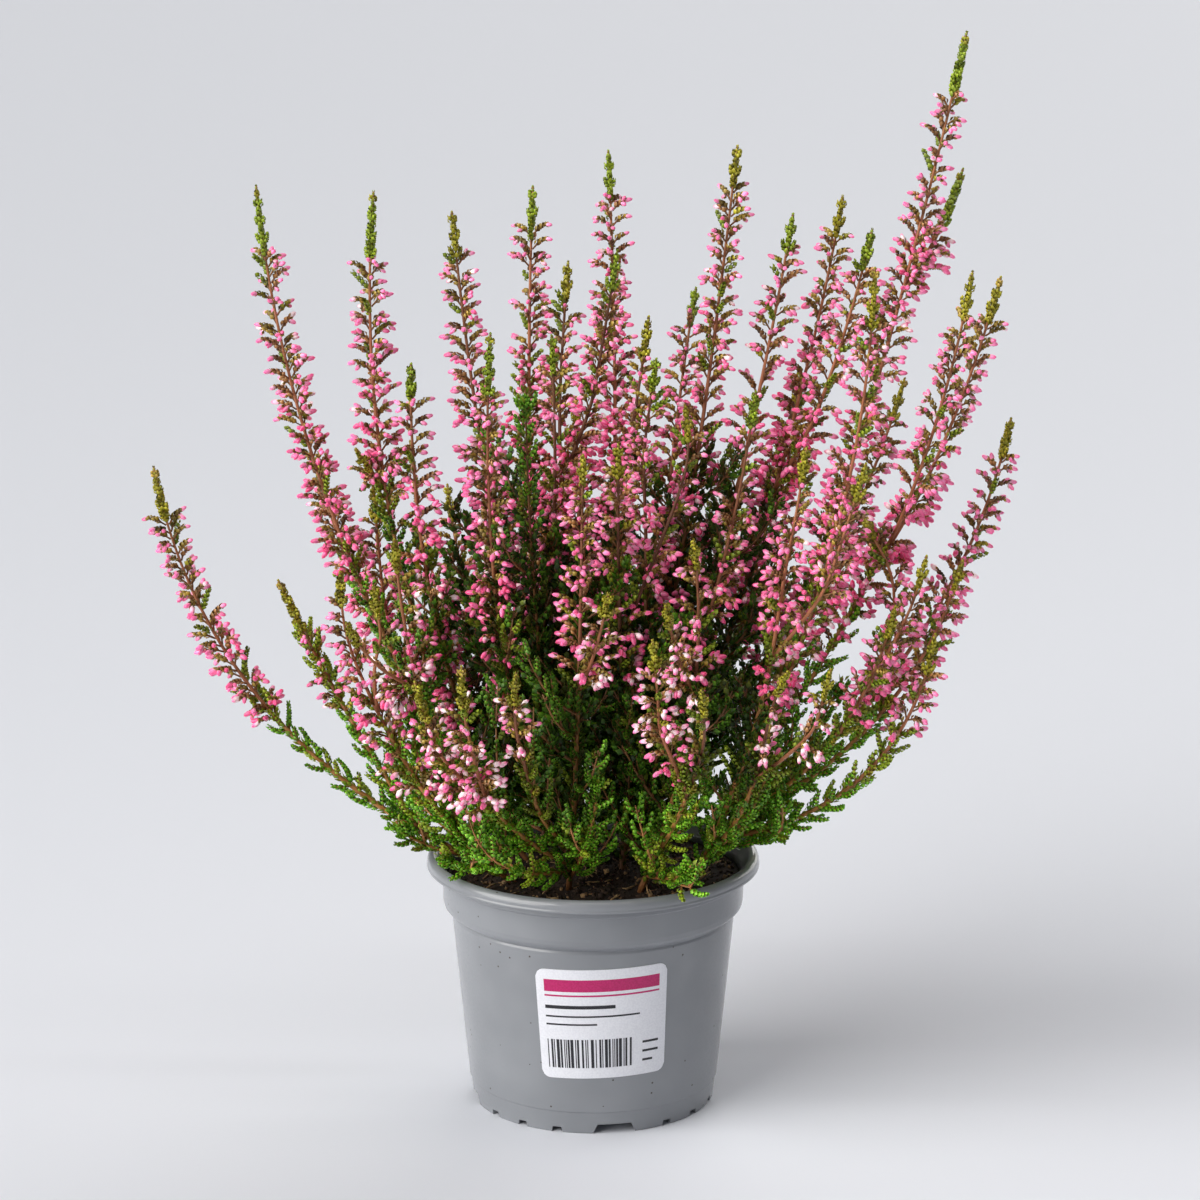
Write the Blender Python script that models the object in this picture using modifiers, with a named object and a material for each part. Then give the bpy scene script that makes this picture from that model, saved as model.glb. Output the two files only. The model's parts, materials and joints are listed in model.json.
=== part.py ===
"""A heather in flower, standing in its nursery pot.

Driving dimensions are in millimetres and MM turns them into metres. The origin is the centre of
the pot's foot, +Z is up, the label faces -Y and +X is to its right.
"""
import math
from collections import namedtuple

import bmesh
import bpy
import numpy as np
from mathutils import Vector
from mathutils.kdtree import KDTree

MM = 0.001
WELD = 0.00001
FACETS = 32

# Pot: an 11 cm nursery pot with a rolled rim, a collar and a notched foot
RIM_R = 55.0
RIM_TOP = 84.0
RIM_DEPTH = 4.2
MOUTH_R = 51.6
COLLAR_TOP_R = 50.2
COLLAR_LOW_R = 49.7
COLLAR_LOW = 67.0
RING_LOW = 76.8
BODY_TOP_R = 46.8
BODY_TOP = 63.4
SEAM_R = 41.4
SEAM = 7.8
FOOT_R = 40.1
WALL = 1.3
FLOOR_LOW = 3.4
FLOOR_THICK = 1.4
BIG_NOTCHES = 4
BIG_NOTCH_FIRST = 10.0
BIG_NOTCH = (16.0, 11.0, 3.3)
SMALL_NOTCH = (4.4, 3.0, 1.9)
SMALL_NOTCH_ANGLES = (27.0, 45.0, 63.0)
DRAINS = 6
DRAIN_R = 3.5
DRAIN_CIRCLE_R = 27.0

# Label on the pot's front
LABEL_WIDE = 42.6
LABEL_HIGH = 38.2
LABEL_CORNER = 3.0
LABEL_MIDDLE = 39.4
LABEL_AZIMUTH = 4.3
LABEL_TILT = 1.6
LABEL_THICK = 0.5
LABEL_COLUMNS = 7
GAP = 0.3

# Soil
SOIL_TOP = 75.4
SOIL_ROUGH = 0.9
SOIL_RINGS = (12.0, 24.0, 35.0, 43.0)
HOLE_R = 2.7
HOLE_FLOOR = 66.0
HOLE_SIDES = 6

# Stems and their outlines
COLLET = 77.6
BEND = (0.82, 0.82, 0.38)
ARM_BEND = (0.66, 0.66, 0.42)
COURSE_POINTS = 24
ROOT_R = 2.0
STEM_R = 1.45
STEM_END_R = 1.0
FORK_R = 0.5
FLOWER_CORE_R = 3.0
TUFT_CORE_R = 1.7
POINT_R = 0.35
SHOOT_BAND = 9.0
FLOWER_BAND = 7.2
TUFT_BAND = 6.5
LONGEST_TUFT = 0.6
SHOOT_REACH = 9.5
SHOOT_LIFT = 5.0
FLOWER_REACH = 7.8
TUFT_REACH = 4.2
BARE_FOOT = 9.0
TURN = math.radians(60.0)
OWN_TURN = math.radians(25.0)

# Room that a stem keeps to its neighbours
SHOOT_ROOM = 5.0
FLOWER_ROOM = 7.4
TUFT_ROOM = 4.4
ROUNDS = 40
SIDEWAYS = 0.5
LONGEST_PUSH = 1.6
FORK_EASE = 30.0
WATCHED = 25.0

Stem = namedtuple("Stem", "tip leaves flowers tuft arms via", defaults=((), None))

# Each branch stands at a place in the soil and has its stems: the tip, the height where the stem
# leaves the branch's first stem, the length of its flowers, the length of the leafy tuft on top,
# the arms of its flower spike, each with its tip and the share of the spike below its fork, and a
# place that the stem passes through.
BRANCHES = (
    ((-31, -3), (
        Stem((-139, -28, 221), 0, 80, 20, (), (-124, -20, 168)),
        Stem((-100, -36, 186), 92, 34, 22, (), (-91, -30, 164)),
        Stem((-65, -12, 99), 84, 0, 0))),
    ((-25, -17), (
        Stem((-79, -50, 192), 0, 46, 14, (((-68, -60, 190), 0.15),)),
        Stem((-63, -32, 199), 96, 40, 13, (((-76, -76, 182), 0.02),)),
        Stem((-56, -30, 140), 90, 0, 0),
        Stem((-49, -40, 96), 84, 0, 0))),
    ((-20, 3), (
        Stem((-108, 10, 305), 0, 112, 24, (), (-93, 8, 222)),
        Stem((-69, -10, 306), 104, 84, 24, (((-76, -16, 224), 0.1),), (-69, -4, 224)),
        Stem((-57, -28, 254), 94, 62, 14, (), (-57, -20, 218)),
        Stem((-68, 16, 156), 92, 0, 0))),
    ((-6, -5), (
        Stem((-45, 0, 298), 0, 92, 17, (), (-37, -3, 229)),
        Stem((-31, -64, 270), 94, 86, 24, (), (-32, -45, 218)),
        Stem((-13, -22, 262), 100, 66, 15, (), (-12, -16, 229)),
        Stem((-8, 25, 278), 88, 78, 15, (((8, 4, 285), 0.2),), (-9, 14, 252)),
        Stem((18, -4, 265), 106, 66, 16, (), (14, -4, 236)),
        Stem((-21, -42, 247), 112, 0, 0),
        Stem((-4, -30, 176), 92, 0, 0))),
    ((-8, -24), (
        Stem((-3, -56, 231), 0, 70, 12, (((5, -78, 192), 0.02),)),
        Stem((-40, -86, 171), 88, 50, 18, (((-55, -78, 164), 0.06),), (-38, -70, 137)),
        Stem((-23, -90, 170), 94, 44, 16, (), (-26, -76, 146)),
        Stem((2, -50, 126), 83, 0, 0),
        Stem((-26, -56, 97), 86, 0, 0))),
    ((9, -11), (
        Stem((20, -36, 257), 0, 72, 14, (), (20, -28, 229)),
        Stem((8, -44, 232), 98, 58, 13, (((29, -24, 240), 0.03),)),
        Stem((51, -38, 247), 92, 84, 14, (), (49, -34, 230)),
        Stem((24, -34, 150), 88, 0, 0))),
    ((16, 5), (
        Stem((46, 0, 319), 0, 100, 15, (), (38, 3, 246)),
        Stem((64, 2, 297), 104, 90, 14, (), (54, 3, 241)),
        Stem((81, 22, 300), 96, 95, 15, (((89, -4, 293), 0.1),), (71, 16, 248)),
        Stem((44, 12, 178), 92, 0, 0))),
    ((15, -26), (
        Stem((31, -62, 205), 0, 50, 13, (((22, -80, 189), 0.05),), (33, -50, 178)),
        Stem((33, -94, 166), 90, 42, 13, (((18, -93, 181), 0.05),), (31, -76, 137)),
        Stem((31, -57, 97), 84, 0, 0))),
    ((32, -16), (
        Stem((66, -60, 234), 0, 64, 14, (((84, -66, 230), 0.06),)),
        Stem((60, -82, 168), 88, 40, 13, (((73, -86, 170), 0.03),), (56, -66, 140)),
        Stem((87, -44, 287), 102, 94, 22, (), (83, -34, 230)),
        Stem((58, -36, 136), 88, 0, 0))),
    ((36, 2), (
        Stem((118, 0, 355), 0, 150, 22, (((119, 13, 310), 0.5),), (97, 2, 262)),
        Stem((119, -26, 283), 108, 96, 17, (((130, -6, 278), 0.05),), (106, -20, 224)),
        Stem((136, 10, 229), 98, 84, 15, (), (115, 6, 170)),
        Stem((108, -46, 171), 87, 50, 16, (), (99, -36, 137)),
        Stem((95, -50, 181), 92, 46, 13, (((106, -32, 193), 0.05),)),
        Stem((118, -28, 191), 90, 50, 13, (((96, -16, 202), 0.05),)),
        Stem((82, 4, 142), 88, 0, 0),
        Stem((66, -6, 96), 84, 0, 0))),
    ((-16, 21), (
        Stem((-20, 58, 298), 0, 86, 16, (), (-21, 50, 263)),
        Stem((-50, 70, 194), 98, 50, 14, (((-62, 82, 176), 0.05),)),
        Stem((-93, 46, 208), 92, 58, 15, (((-73, 30, 203), 0.06),)),
        Stem((-32, 94, 172), 88, 48, 14, (((-46, 90, 164), 0.05),)),
        Stem((-32, 44, 160), 92, 0, 0),
        Stem((-44, 46, 97), 84, 0, 0))),
    ((3, 27), (
        Stem((5, 80, 307), 0, 104, 18, (), (7, 62, 247)),
        Stem((-6, 62, 224), 96, 56, 14, (((16, 84, 219), 0.04),)),
        Stem((8, 95, 178), 87, 48, 14, (((-12, 96, 168), 0.05),)))),
    ((22, 19), (
        Stem((35, 75, 261), 0, 76, 15, (), (29, 56, 225)),
        Stem((69, 40, 240), 98, 66, 14),
        Stem((105, 58, 233), 90, 76, 18, (((95, 74, 179), 0.06),), (99, 48, 217)),
        Stem((64, 86, 205), 94, 52, 14, (((44, 90, 172), 0.05),)),
        Stem((32, 46, 160), 92, 0, 0),
        Stem((42, 42, 98), 84, 0, 0))),
)


class Strand:
    """A stem, or one arm of a spike, as a chain of points from its foot to its tip."""

    def __init__(self, branch, tip, flowers, tuft, via=None, parent=None, spike=None, arm=False):
        self.branch = branch
        self.tip = np.array(tip, float)
        self.via = None if via is None else np.array(via, float)
        self.flowers = flowers
        self.tuft = tuft
        self.parent = parent
        self.spike = spike
        self.arm = arm
        self.join = 0.0
        self.shift = np.zeros((COURSE_POINTS, 3))
        self.points = None

    def lay(self, root=None):
        """Draws the strand again from where it leaves its parent, or from the root."""
        foot = root
        if self.parent is not None:
            at = np.arange(COURSE_POINTS)
            foot = np.array([np.interp(self.join, at, axis) for axis in self.parent.points.T])
        self.points = course(foot, self.tip, self.via, ARM_BEND if self.arm else BEND) + self.shift


def course(foot, tip, via, bend):
    """A stem that first leans out and then rises: a quadratic Bezier from foot to tip."""
    if via is None:
        pull = foot + (tip - foot) * np.array(bend)
    else:
        below, above = np.linalg.norm(via - foot), np.linalg.norm(tip - via)
        share = below / (below + above)
        pull = (via - (1 - share) ** 2 * foot - share ** 2 * tip) / (2 * share * (1 - share))
    t = np.linspace(0.0, 1.0, COURSE_POINTS)[:, None]
    return (1 - t) ** 2 * foot + 2 * t * (1 - t) * pull + t ** 2 * tip


def lengths(points):
    """The distance along a chain of points, from its start to each point."""
    steps = np.linalg.norm(np.diff(points, axis=0), axis=1)
    return np.concatenate([[0.0], np.cumsum(steps)])


def make_strands():
    """Every stem and arm of the table, each after the one that carries it."""
    strands = []
    spikes = 0
    for branch, (place, stems) in enumerate(BRANCHES):
        root = np.array([*place, COLLET], float)
        first = None
        for stem in stems:
            spike = None
            if stem.flowers:
                spike = spikes
                spikes += 1
            strand = Strand(branch, stem.tip, stem.flowers, stem.tuft, stem.via, first, spike)
            if first is None:
                first = strand
                strand.lay(root)
            else:
                strand.join = float(np.interp(stem.leaves, first.points[:, 2], np.arange(COURSE_POINTS)))
                strand.lay()
            strands.append(strand)
            for tip, share in stem.arms:
                arm = Strand(branch, tip, stem.flowers, stem.tuft, None, strand, spike, arm=True)
                along = lengths(strand.points)
                fork = along[-1] - (stem.flowers + stem.tuft) * (1 - share)
                arm.join = float(np.interp(fork, along, np.arange(COURSE_POINTS)))
                arm.lay()
                strands.append(arm)
    return strands


def room(strand):
    """How far each point of a strand keeps its neighbours off."""
    along = lengths(strand.points)
    left = along[-1] - along
    result = np.full(COURSE_POINTS, SHOOT_ROOM)
    if strand.spike is not None:
        flowering = strand.flowers + strand.tuft
        result[(left < flowering) | strand.arm] = FLOWER_ROOM
        result[left < strand.tuft] = TUFT_ROOM
    return result


def neighbours(strands):
    """Pairs of points of different strands that may come near, and the distance that each needs."""
    points = np.concatenate([s.points for s in strands])
    rooms = np.concatenate([room(s) for s in strands])
    owner = np.repeat(np.arange(len(strands)), COURSE_POINTS)
    branch = np.array([s.branch for s in strands])[owner]
    age = np.concatenate([lengths(s.points) if s.parent is not None
                          else np.full(COURSE_POINTS, FORK_EASE) for s in strands])
    distance = np.linalg.norm(points[:, None, :] - points[None, :, :], axis=2)
    need = rooms[:, None] + rooms[None, :]
    one, other = np.nonzero((owner[:, None] != owner[None, :]) & (distance < need + WATCHED))
    ease = np.minimum(np.minimum(age[one], age[other]) / FORK_EASE, 1.0)
    ease[branch[one] != branch[other]] = 1.0
    return one, other, (rooms[one] + rooms[other]) * ease


def spread(strands):
    """Bends stems that would touch clear of each other, more in depth than sideways."""
    one, other, need = neighbours(strands)
    hold = np.minimum(np.linspace(0.0, 1.0, COURSE_POINTS) / 0.3, 1.0)[:, None]
    for _ in range(ROUNDS):
        points = np.concatenate([s.points for s in strands])
        away = points[one] - points[other]
        distance = np.linalg.norm(away, axis=1) + 1e-6
        share = 0.5 * np.maximum(need - distance, 0.0) / distance
        push = np.stack([np.bincount(one, away[:, axis] * share, len(points)) * much
                         for axis, much in enumerate((SIDEWAYS, 1.0, 0.0))], axis=1)
        size = np.linalg.norm(push, axis=1, keepdims=True) + 1e-9
        push *= np.minimum(LONGEST_PUSH / size, 1.0)
        for number, strand in enumerate(strands):
            rows = slice(number * COURSE_POINTS, (number + 1) * COURSE_POINTS)
            shift = strand.shift + push[rows] * hold
            shift[1:-1] = 0.25 * shift[:-2] + 0.5 * shift[1:-1] + 0.25 * shift[2:]
            strand.shift = shift
            strand.lay(strand.points[0] if strand.parent is None else None)


def smooth(points, times=4):
    """A finer chain of points through the given ones (Catmull-Rom)."""
    before = np.vstack([2 * points[0] - points[1], points[:-2]])
    after = np.vstack([points[2:], 2 * points[-1] - points[-2]])
    t = (np.arange(times) / times)[None, :, None]
    a, b, c, d = (side[:, None, :] for side in (before, points[:-1], points[1:], after))
    fine = 0.5 * (2 * b + (c - a) * t + (2 * a - 5 * b + 4 * c - d) * t ** 2
                  + (3 * b - a - 3 * c + d) * t ** 3)
    return np.vstack([fine.reshape(-1, 3), points[-1]])


def stretch(points, start, end, pieces):
    """Evenly spaced points of a chain between two distances along it."""
    along = lengths(points)
    at = np.linspace(start, end, pieces + 1)
    return np.stack([np.interp(at, along, axis) for axis in points.T], axis=1)


class Thicket:
    """All strands at once, to tell how far a shoot or a bud may reach."""

    def __init__(self, strands):
        self.chains = [smooth(s.points) for s in strands]
        dense = [stretch(c, 0.0, lengths(c)[-1], max(int(lengths(c)[-1] / 1.5), 2))
                 for c in self.chains]
        self.owner = np.concatenate([np.full(len(c), i) for i, c in enumerate(dense)])
        self.tree = KDTree(len(self.owner))
        for number, point in enumerate(np.concatenate(dense)):
            self.tree.insert(point, number)
        self.tree.balance()

    def allows(self, point, owner, off_axis):
        """True where the point is nearer to its own strand than to any other, and clears the pot."""
        across = math.hypot(point[0], point[1])
        if across < COLLAR_TOP_R and point[2] < SOIL_TOP + 2.5:
            return False
        if across < RIM_R + 4 and across > MOUTH_R - 6 and point[2] < RIM_TOP + 1.2:
            return False
        if point[2] < RIM_TOP - 6:
            return False
        near = self.tree.find_range(point, off_axis + 2 * GAP)
        return all(self.owner[number] == owner for _, number, _ in near)


def material(name, colour, roughness, metallic=0.0):
    """A Principled material with one linear colour."""
    result = bpy.data.materials.new(name)
    result.use_nodes = True
    shader = result.node_tree.nodes["Principled BSDF"]
    shader.inputs["Base Color"].default_value = (*colour, 1.0)
    shader.inputs["Roughness"].default_value = roughness
    shader.inputs["Metallic"].default_value = metallic
    return result


def add(name, mesh, collection, finish=None):
    """An object of a mesh, in its collection and with its material."""
    result = bpy.data.objects.new(name, mesh)
    collection.objects.link(result)
    if finish is not None:
        mesh.materials.clear()
        mesh.materials.append(finish)
    return result


def evaluated(thing):
    """The mesh of an object with its modifiers."""
    view = thing.evaluated_get(bpy.context.evaluated_depsgraph_get())
    return bpy.data.meshes.new_from_object(view)


def turned(name, profile, collection):
    """A closed body turned round +Z from (radius, height) points, from axis to axis."""
    mesh = bpy.data.meshes.new(name)
    shape = bmesh.new()
    corners = [shape.verts.new((r * MM, 0.0, z * MM)) for r, z in profile]
    for low, high in zip(corners, corners[1:]):
        shape.edges.new((low, high))
    shape.to_mesh(mesh)
    shape.free()
    result = add(name, mesh, collection)
    screw = result.modifiers.new("turn", "SCREW")
    screw.axis = "Z"
    screw.angle = math.tau
    screw.steps = FACETS
    screw.render_steps = FACETS
    screw.use_merge_vertices = True
    screw.merge_threshold = WELD
    return result


def solid_from(thing):
    """Replaces a turned object's mesh by its evaluated one, closed and facing out."""
    mesh = evaluated(thing)
    shape = bmesh.new()
    shape.from_mesh(mesh)
    bmesh.ops.remove_doubles(shape, verts=shape.verts, dist=WELD)
    bmesh.ops.recalc_face_normals(shape, faces=shape.faces)
    shape.to_mesh(mesh)
    shape.free()
    thing.modifiers.clear()
    thing.data = mesh
    return thing


def body_radius(z):
    """The pot's outer radius on its tapered body."""
    return np.interp(z, [SEAM, BODY_TOP], [SEAM_R, BODY_TOP_R])


def pot_profile():
    """From the floor's middle up the inside, over the rim and down the outside to the axis."""
    floor_top = FLOOR_LOW + FLOOR_THICK
    inside = [
        (0.0, floor_top),
        (FOOT_R - WALL, floor_top),
        (BODY_TOP_R - WALL, BODY_TOP + 0.4),
        (COLLAR_LOW_R - WALL, COLLAR_LOW + 0.4),
        (COLLAR_TOP_R - WALL, RING_LOW + 1.2)]
    rim = [
        (MOUTH_R, RIM_TOP - 0.6),
        (MOUTH_R + 0.9, RIM_TOP),
        (RIM_R - 0.9, RIM_TOP),
        (RIM_R, RIM_TOP - 1.3),
        (RIM_R, RIM_TOP - 3.0),
        (RIM_R - 1.0, RIM_TOP - RIM_DEPTH)]
    outside = [
        (COLLAR_TOP_R + 0.5, RIM_TOP - RIM_DEPTH),
        (COLLAR_TOP_R + 0.3, RING_LOW + 0.3),
        (COLLAR_TOP_R - 0.2, RING_LOW),
        (COLLAR_LOW_R, COLLAR_LOW),
        (BODY_TOP_R, BODY_TOP),
        (SEAM_R, SEAM),
        (SEAM_R - 0.35, SEAM - 0.4),
        (FOOT_R, 0.0),
        (FOOT_R - WALL - 0.2, 0.0),
        (FOOT_R - WALL - 0.2, FLOOR_LOW),
        (0.0, FLOOR_LOW)]
    return inside + rim + outside


def notch(azimuth, size, collection):
    """A cutter across the foot ring: wide below, narrower above."""
    low, high, tall = size
    mesh = bpy.data.meshes.new("notch_cutter")
    shape = bmesh.new()
    bmesh.ops.create_cube(shape, size=1.0)
    for corner in shape.verts:
        top = corner.co.z > 0
        corner.co.x *= (high if top else low) * MM
        corner.co.y *= 8.0 * MM
        corner.co.z = (tall if top else -2.0) * MM
    shape.to_mesh(mesh)
    shape.free()
    cutter = add("notch_cutter", mesh, collection)
    turn = math.radians(azimuth)
    cutter.location = (FOOT_R * math.sin(turn) * MM, -FOOT_R * math.cos(turn) * MM, 0.0)
    cutter.rotation_euler = (0.0, 0.0, turn)
    return cutter


def cylinder_cutter(name, x, y, low, high, radius, sides, collection):
    """An upright cutter with a flat bottom and top."""
    mesh = bpy.data.meshes.new(name)
    shape = bmesh.new()
    bmesh.ops.create_cone(shape, cap_ends=True, segments=sides, radius1=radius * MM,
                          radius2=radius * MM, depth=(high - low) * MM)
    shape.to_mesh(mesh)
    shape.free()
    cutter = add(name, mesh, collection)
    cutter.location = (x * MM, y * MM, (low + high) / 2 * MM)
    return cutter


def cut(thing, cutters):
    """Subtracts a collection of cutters from an object."""
    for cutter in cutters.objects:
        cutter.hide_render = True
        cutter.display_type = "WIRE"
    difference = thing.modifiers.new("cut", "BOOLEAN")
    difference.operation = "DIFFERENCE"
    difference.operand_type = "COLLECTION"
    difference.collection = cutters
    difference.solver = "EXACT"


def new_collection(name, parent):
    """An empty collection under another."""
    result = bpy.data.collections.new(name)
    parent.children.link(result)
    return result


def make_pot(parts, cutters, finish):
    """The pot with its foot notches and drain holes."""
    pot = solid_from(turned("pot", pot_profile(), parts))
    pot.data.materials.append(finish)
    tools = new_collection("pot_cutters", cutters)
    quarter = 360.0 / BIG_NOTCHES
    for number in range(BIG_NOTCHES):
        azimuth = BIG_NOTCH_FIRST + number * quarter
        notch(azimuth, BIG_NOTCH, tools)
        for step in SMALL_NOTCH_ANGLES:
            notch(azimuth + step, SMALL_NOTCH, tools)
    for number in range(DRAINS):
        turn = math.tau * (number + 0.5) / DRAINS
        cylinder_cutter("drain_cutter", DRAIN_CIRCLE_R * math.cos(turn), DRAIN_CIRCLE_R * math.sin(turn),
                        FLOOR_LOW - 2, FLOOR_LOW + FLOOR_THICK + 2, DRAIN_R, 8, tools)
    cut(pot, tools)
    pot.data.shade_smooth()
    pot.data.set_sharp_from_angle(angle=math.radians(30))
    return pot


def make_label(parts, finish):
    """A sheet with round corners, wrapped on the pot's tapered body."""
    outline = bpy.data.curves.new("label_outline", "CURVE")
    outline.dimensions = "2D"
    outline.fill_mode = "BOTH"
    border = outline.splines.new("POLY")
    corners = []
    wide, high = LABEL_WIDE / 2 - LABEL_CORNER, LABEL_HIGH / 2 - LABEL_CORNER
    for quarter, (side, level) in enumerate(((1, 1), (-1, 1), (-1, -1), (1, -1))):
        for step in range(3):
            turn = math.radians(90 * quarter + 45 * step)
            corners.append((side * wide + LABEL_CORNER * math.cos(turn),
                            level * high + LABEL_CORNER * math.sin(turn)))
    border.points.add(len(corners) - 1)
    for point, (across, up) in zip(border.points, corners):
        point.co = (across * MM, up * MM, 0.0, 1.0)
    border.use_cyclic_u = True
    flat = bpy.data.objects.new("label_outline", outline)
    parts.objects.link(flat)
    mesh = evaluated(flat)
    bpy.data.objects.remove(flat)
    shape = bmesh.new()
    shape.from_mesh(mesh)
    bmesh.ops.remove_doubles(shape, verts=shape.verts, dist=WELD)
    bmesh.ops.dissolve_faces(shape, faces=shape.faces[:])
    for number in range(1, LABEL_COLUMNS):
        across = (number / LABEL_COLUMNS - 0.5) * LABEL_WIDE * MM
        bmesh.ops.bisect_plane(shape, geom=shape.verts[:] + shape.edges[:] + shape.faces[:],
                               plane_co=(across, 0, 0), plane_no=(1, 0, 0), dist=WELD)
    tilt = math.radians(LABEL_TILT)
    middle_r = float(body_radius(LABEL_MIDDLE))
    for corner in shape.verts:
        across = (corner.co.x * math.cos(tilt) - corner.co.y * math.sin(tilt)) / MM
        up = (corner.co.x * math.sin(tilt) + corner.co.y * math.cos(tilt)) / MM
        turn = math.radians(LABEL_AZIMUTH) + across / middle_r
        radius = float(body_radius(LABEL_MIDDLE + up)) + GAP
        corner.co = (radius * math.sin(turn) * MM, -radius * math.cos(turn) * MM,
                     (LABEL_MIDDLE + up) * MM)
    for face in shape.faces:
        middle = face.calc_center_median()
        if face.normal.dot(Vector((middle.x, middle.y, 0.0))) < 0:
            face.normal_flip()
    shape.normal_update()
    shape.to_mesh(mesh)
    shape.free()
    label = add("label", mesh, parts, finish)
    sheet = label.modifiers.new("thickness", "SOLIDIFY")
    sheet.thickness = LABEL_THICK * MM
    sheet.offset = 1.0
    return label


def make_soil(parts, cutters, finish):
    """The filled pot's soil, with a rough top and a plain hole for each stem."""
    floor_top = FLOOR_LOW + FLOOR_THICK + GAP
    side = GAP + 0.1
    profile = [(0.0, SOIL_TOP)]
    profile += [(r, SOIL_TOP) for r in SOIL_RINGS]
    profile += [
        (COLLAR_TOP_R - WALL - side - 0.1, SOIL_TOP),
        (COLLAR_LOW_R - WALL - side, COLLAR_LOW + 0.4),
        (BODY_TOP_R - WALL - side, BODY_TOP + 0.4),
        (FOOT_R - WALL - side, floor_top),
        (0.0, floor_top)]
    soil = solid_from(turned("soil", profile, parts))
    soil.data.materials.append(finish)
    draw = np.random.default_rng(11)
    roots = np.array([place for place, _ in BRANCHES], float)
    for corner in soil.data.vertices:
        bump = draw.uniform(-1.0, 1.0) * SOIL_ROUGH
        x, y = corner.co.x / MM, corner.co.y / MM
        on_top = abs(corner.co.z / MM - SOIL_TOP) < 0.01 and math.hypot(x, y) < SOIL_RINGS[-1] + 1
        if on_top and np.min(np.hypot(*(roots - (x, y)).T)) > HOLE_R + 2:
            corner.co.z += bump * MM
    tools = new_collection("soil_cutters", cutters)
    for place, _ in BRANCHES:
        cylinder_cutter("hole_cutter", *place, HOLE_FLOOR, RIM_TOP, HOLE_R, HOLE_SIDES, tools)
    cut(soil, tools)
    return soil


def section_curve(tools):
    """The three-sided section of all stems, one unit in radius."""
    data = bpy.data.curves.new("stem_section", "CURVE")
    data.dimensions = "2D"
    border = data.splines.new("POLY")
    border.points.add(2)
    for number, point in enumerate(border.points):
        turn = math.tau * number / 3
        point.co = (math.cos(turn), math.sin(turn), 0.0, 1.0)
    border.use_cyclic_u = True
    section = bpy.data.objects.new("stem_section", data)
    section.hide_render = True
    tools.objects.link(section)
    return section


def rod(points, radii, turned_by, section, tools):
    """A closed mesh along the points, three-sided and turned a little from point to point."""
    data = bpy.data.curves.new("rod", "CURVE")
    data.dimensions = "3D"
    data.bevel_mode = "OBJECT"
    data.bevel_object = section
    data.use_fill_caps = True
    line = data.splines.new("POLY")
    line.points.add(len(points) - 1)
    for number, (point, place, radius) in enumerate(zip(line.points, points, radii)):
        point.co = (*(place * MM), 1.0)
        point.radius = radius * MM
        point.tilt = turned_by + number * TURN
    guide = bpy.data.objects.new("rod", data)
    tools.objects.link(guide)
    mesh = evaluated(guide)
    bpy.data.objects.remove(guide)
    bpy.data.curves.remove(data)
    shape = bmesh.new()
    shape.from_mesh(mesh)
    bpy.data.meshes.remove(mesh)
    bmesh.ops.remove_doubles(shape, verts=shape.verts, dist=WELD)
    bmesh.ops.recalc_face_normals(shape, faces=shape.faces)
    return shape


def raise_buds(shape, points, reaches, lifts, owner, thicket):
    """Raises each side face of a rod to a point, where its neighbours leave room for it."""
    mids = (points[:-1] + points[1:]) / 2
    ways = points[1:] - points[:-1]
    ways /= np.linalg.norm(ways, axis=1, keepdims=True)
    for face in [f for f in shape.faces if len(f.verts) == 4]:
        middle = np.array(face.calc_center_median()) / MM
        band = int(np.argmin(np.linalg.norm(mids - middle, axis=1)))
        if reaches[band] <= 0:
            continue
        out = middle - mids[band]
        out -= ways[band] * out.dot(ways[band])
        out /= np.linalg.norm(out)
        for share in (1.0, 0.85, 0.7, 0.58):
            reach = reaches[band] * share
            place = mids[band] + out * reach + ways[band] * lifts[band] * share
            if thicket.allows(place, owner, reach):
                apex = bmesh.ops.poke(shape, faces=[face])["verts"][0]
                apex.co = Vector(place * MM)
                break
    flat = [f for f in shape.faces if len(f.verts) == 4]
    bmesh.ops.triangulate(shape, faces=flat, quad_method="SHORT_EDGE")


def green_rod(number, strand, thicket, section, tools):
    """A woody stem with its leafy side shoots, up to the foot of its spike."""
    chain = thicket.chains[number]
    whole = lengths(chain)[-1]
    end = whole
    if strand.spike is not None:
        end = whole - strand.flowers - strand.tuft - GAP / 2
    bands = max(round(end / SHOOT_BAND), 2)
    points = stretch(chain, 0.0, end, bands)
    thick = STEM_R if strand.parent is None else STEM_R * 0.8
    radii = np.linspace(thick, STEM_END_R if strand.spike is not None else POINT_R, bands + 1)
    if strand.parent is not None:
        radii[0] = FORK_R
    start = lengths(points)[:-1]
    reaches = np.where(start < BARE_FOOT - SHOOT_BAND / 2, 0.0, SHOOT_REACH)
    lifts = np.full(bands, SHOOT_LIFT)
    if strand.spike is not None:
        reaches[-1] = 0.0
    else:
        reaches = reaches * np.linspace(1.0, 0.45, bands)
    if strand.parent is None:
        foot = np.array([[*points[0][:2], HOLE_FLOOR + GAP], [*points[0][:2], COLLET - 1.0]])
        points = np.vstack([foot, points[1:]])
        radii = np.concatenate([[ROOT_R, ROOT_R], radii[1:]])
        reaches = np.concatenate([[0.0, 0.0], reaches[1:]])
        lifts = np.concatenate([[0.0, 0.0], lifts[1:]])
    shape = rod(points, radii, number * OWN_TURN, section, tools)
    raise_buds(shape, points, reaches, lifts, number, thicket)
    return shape


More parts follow.
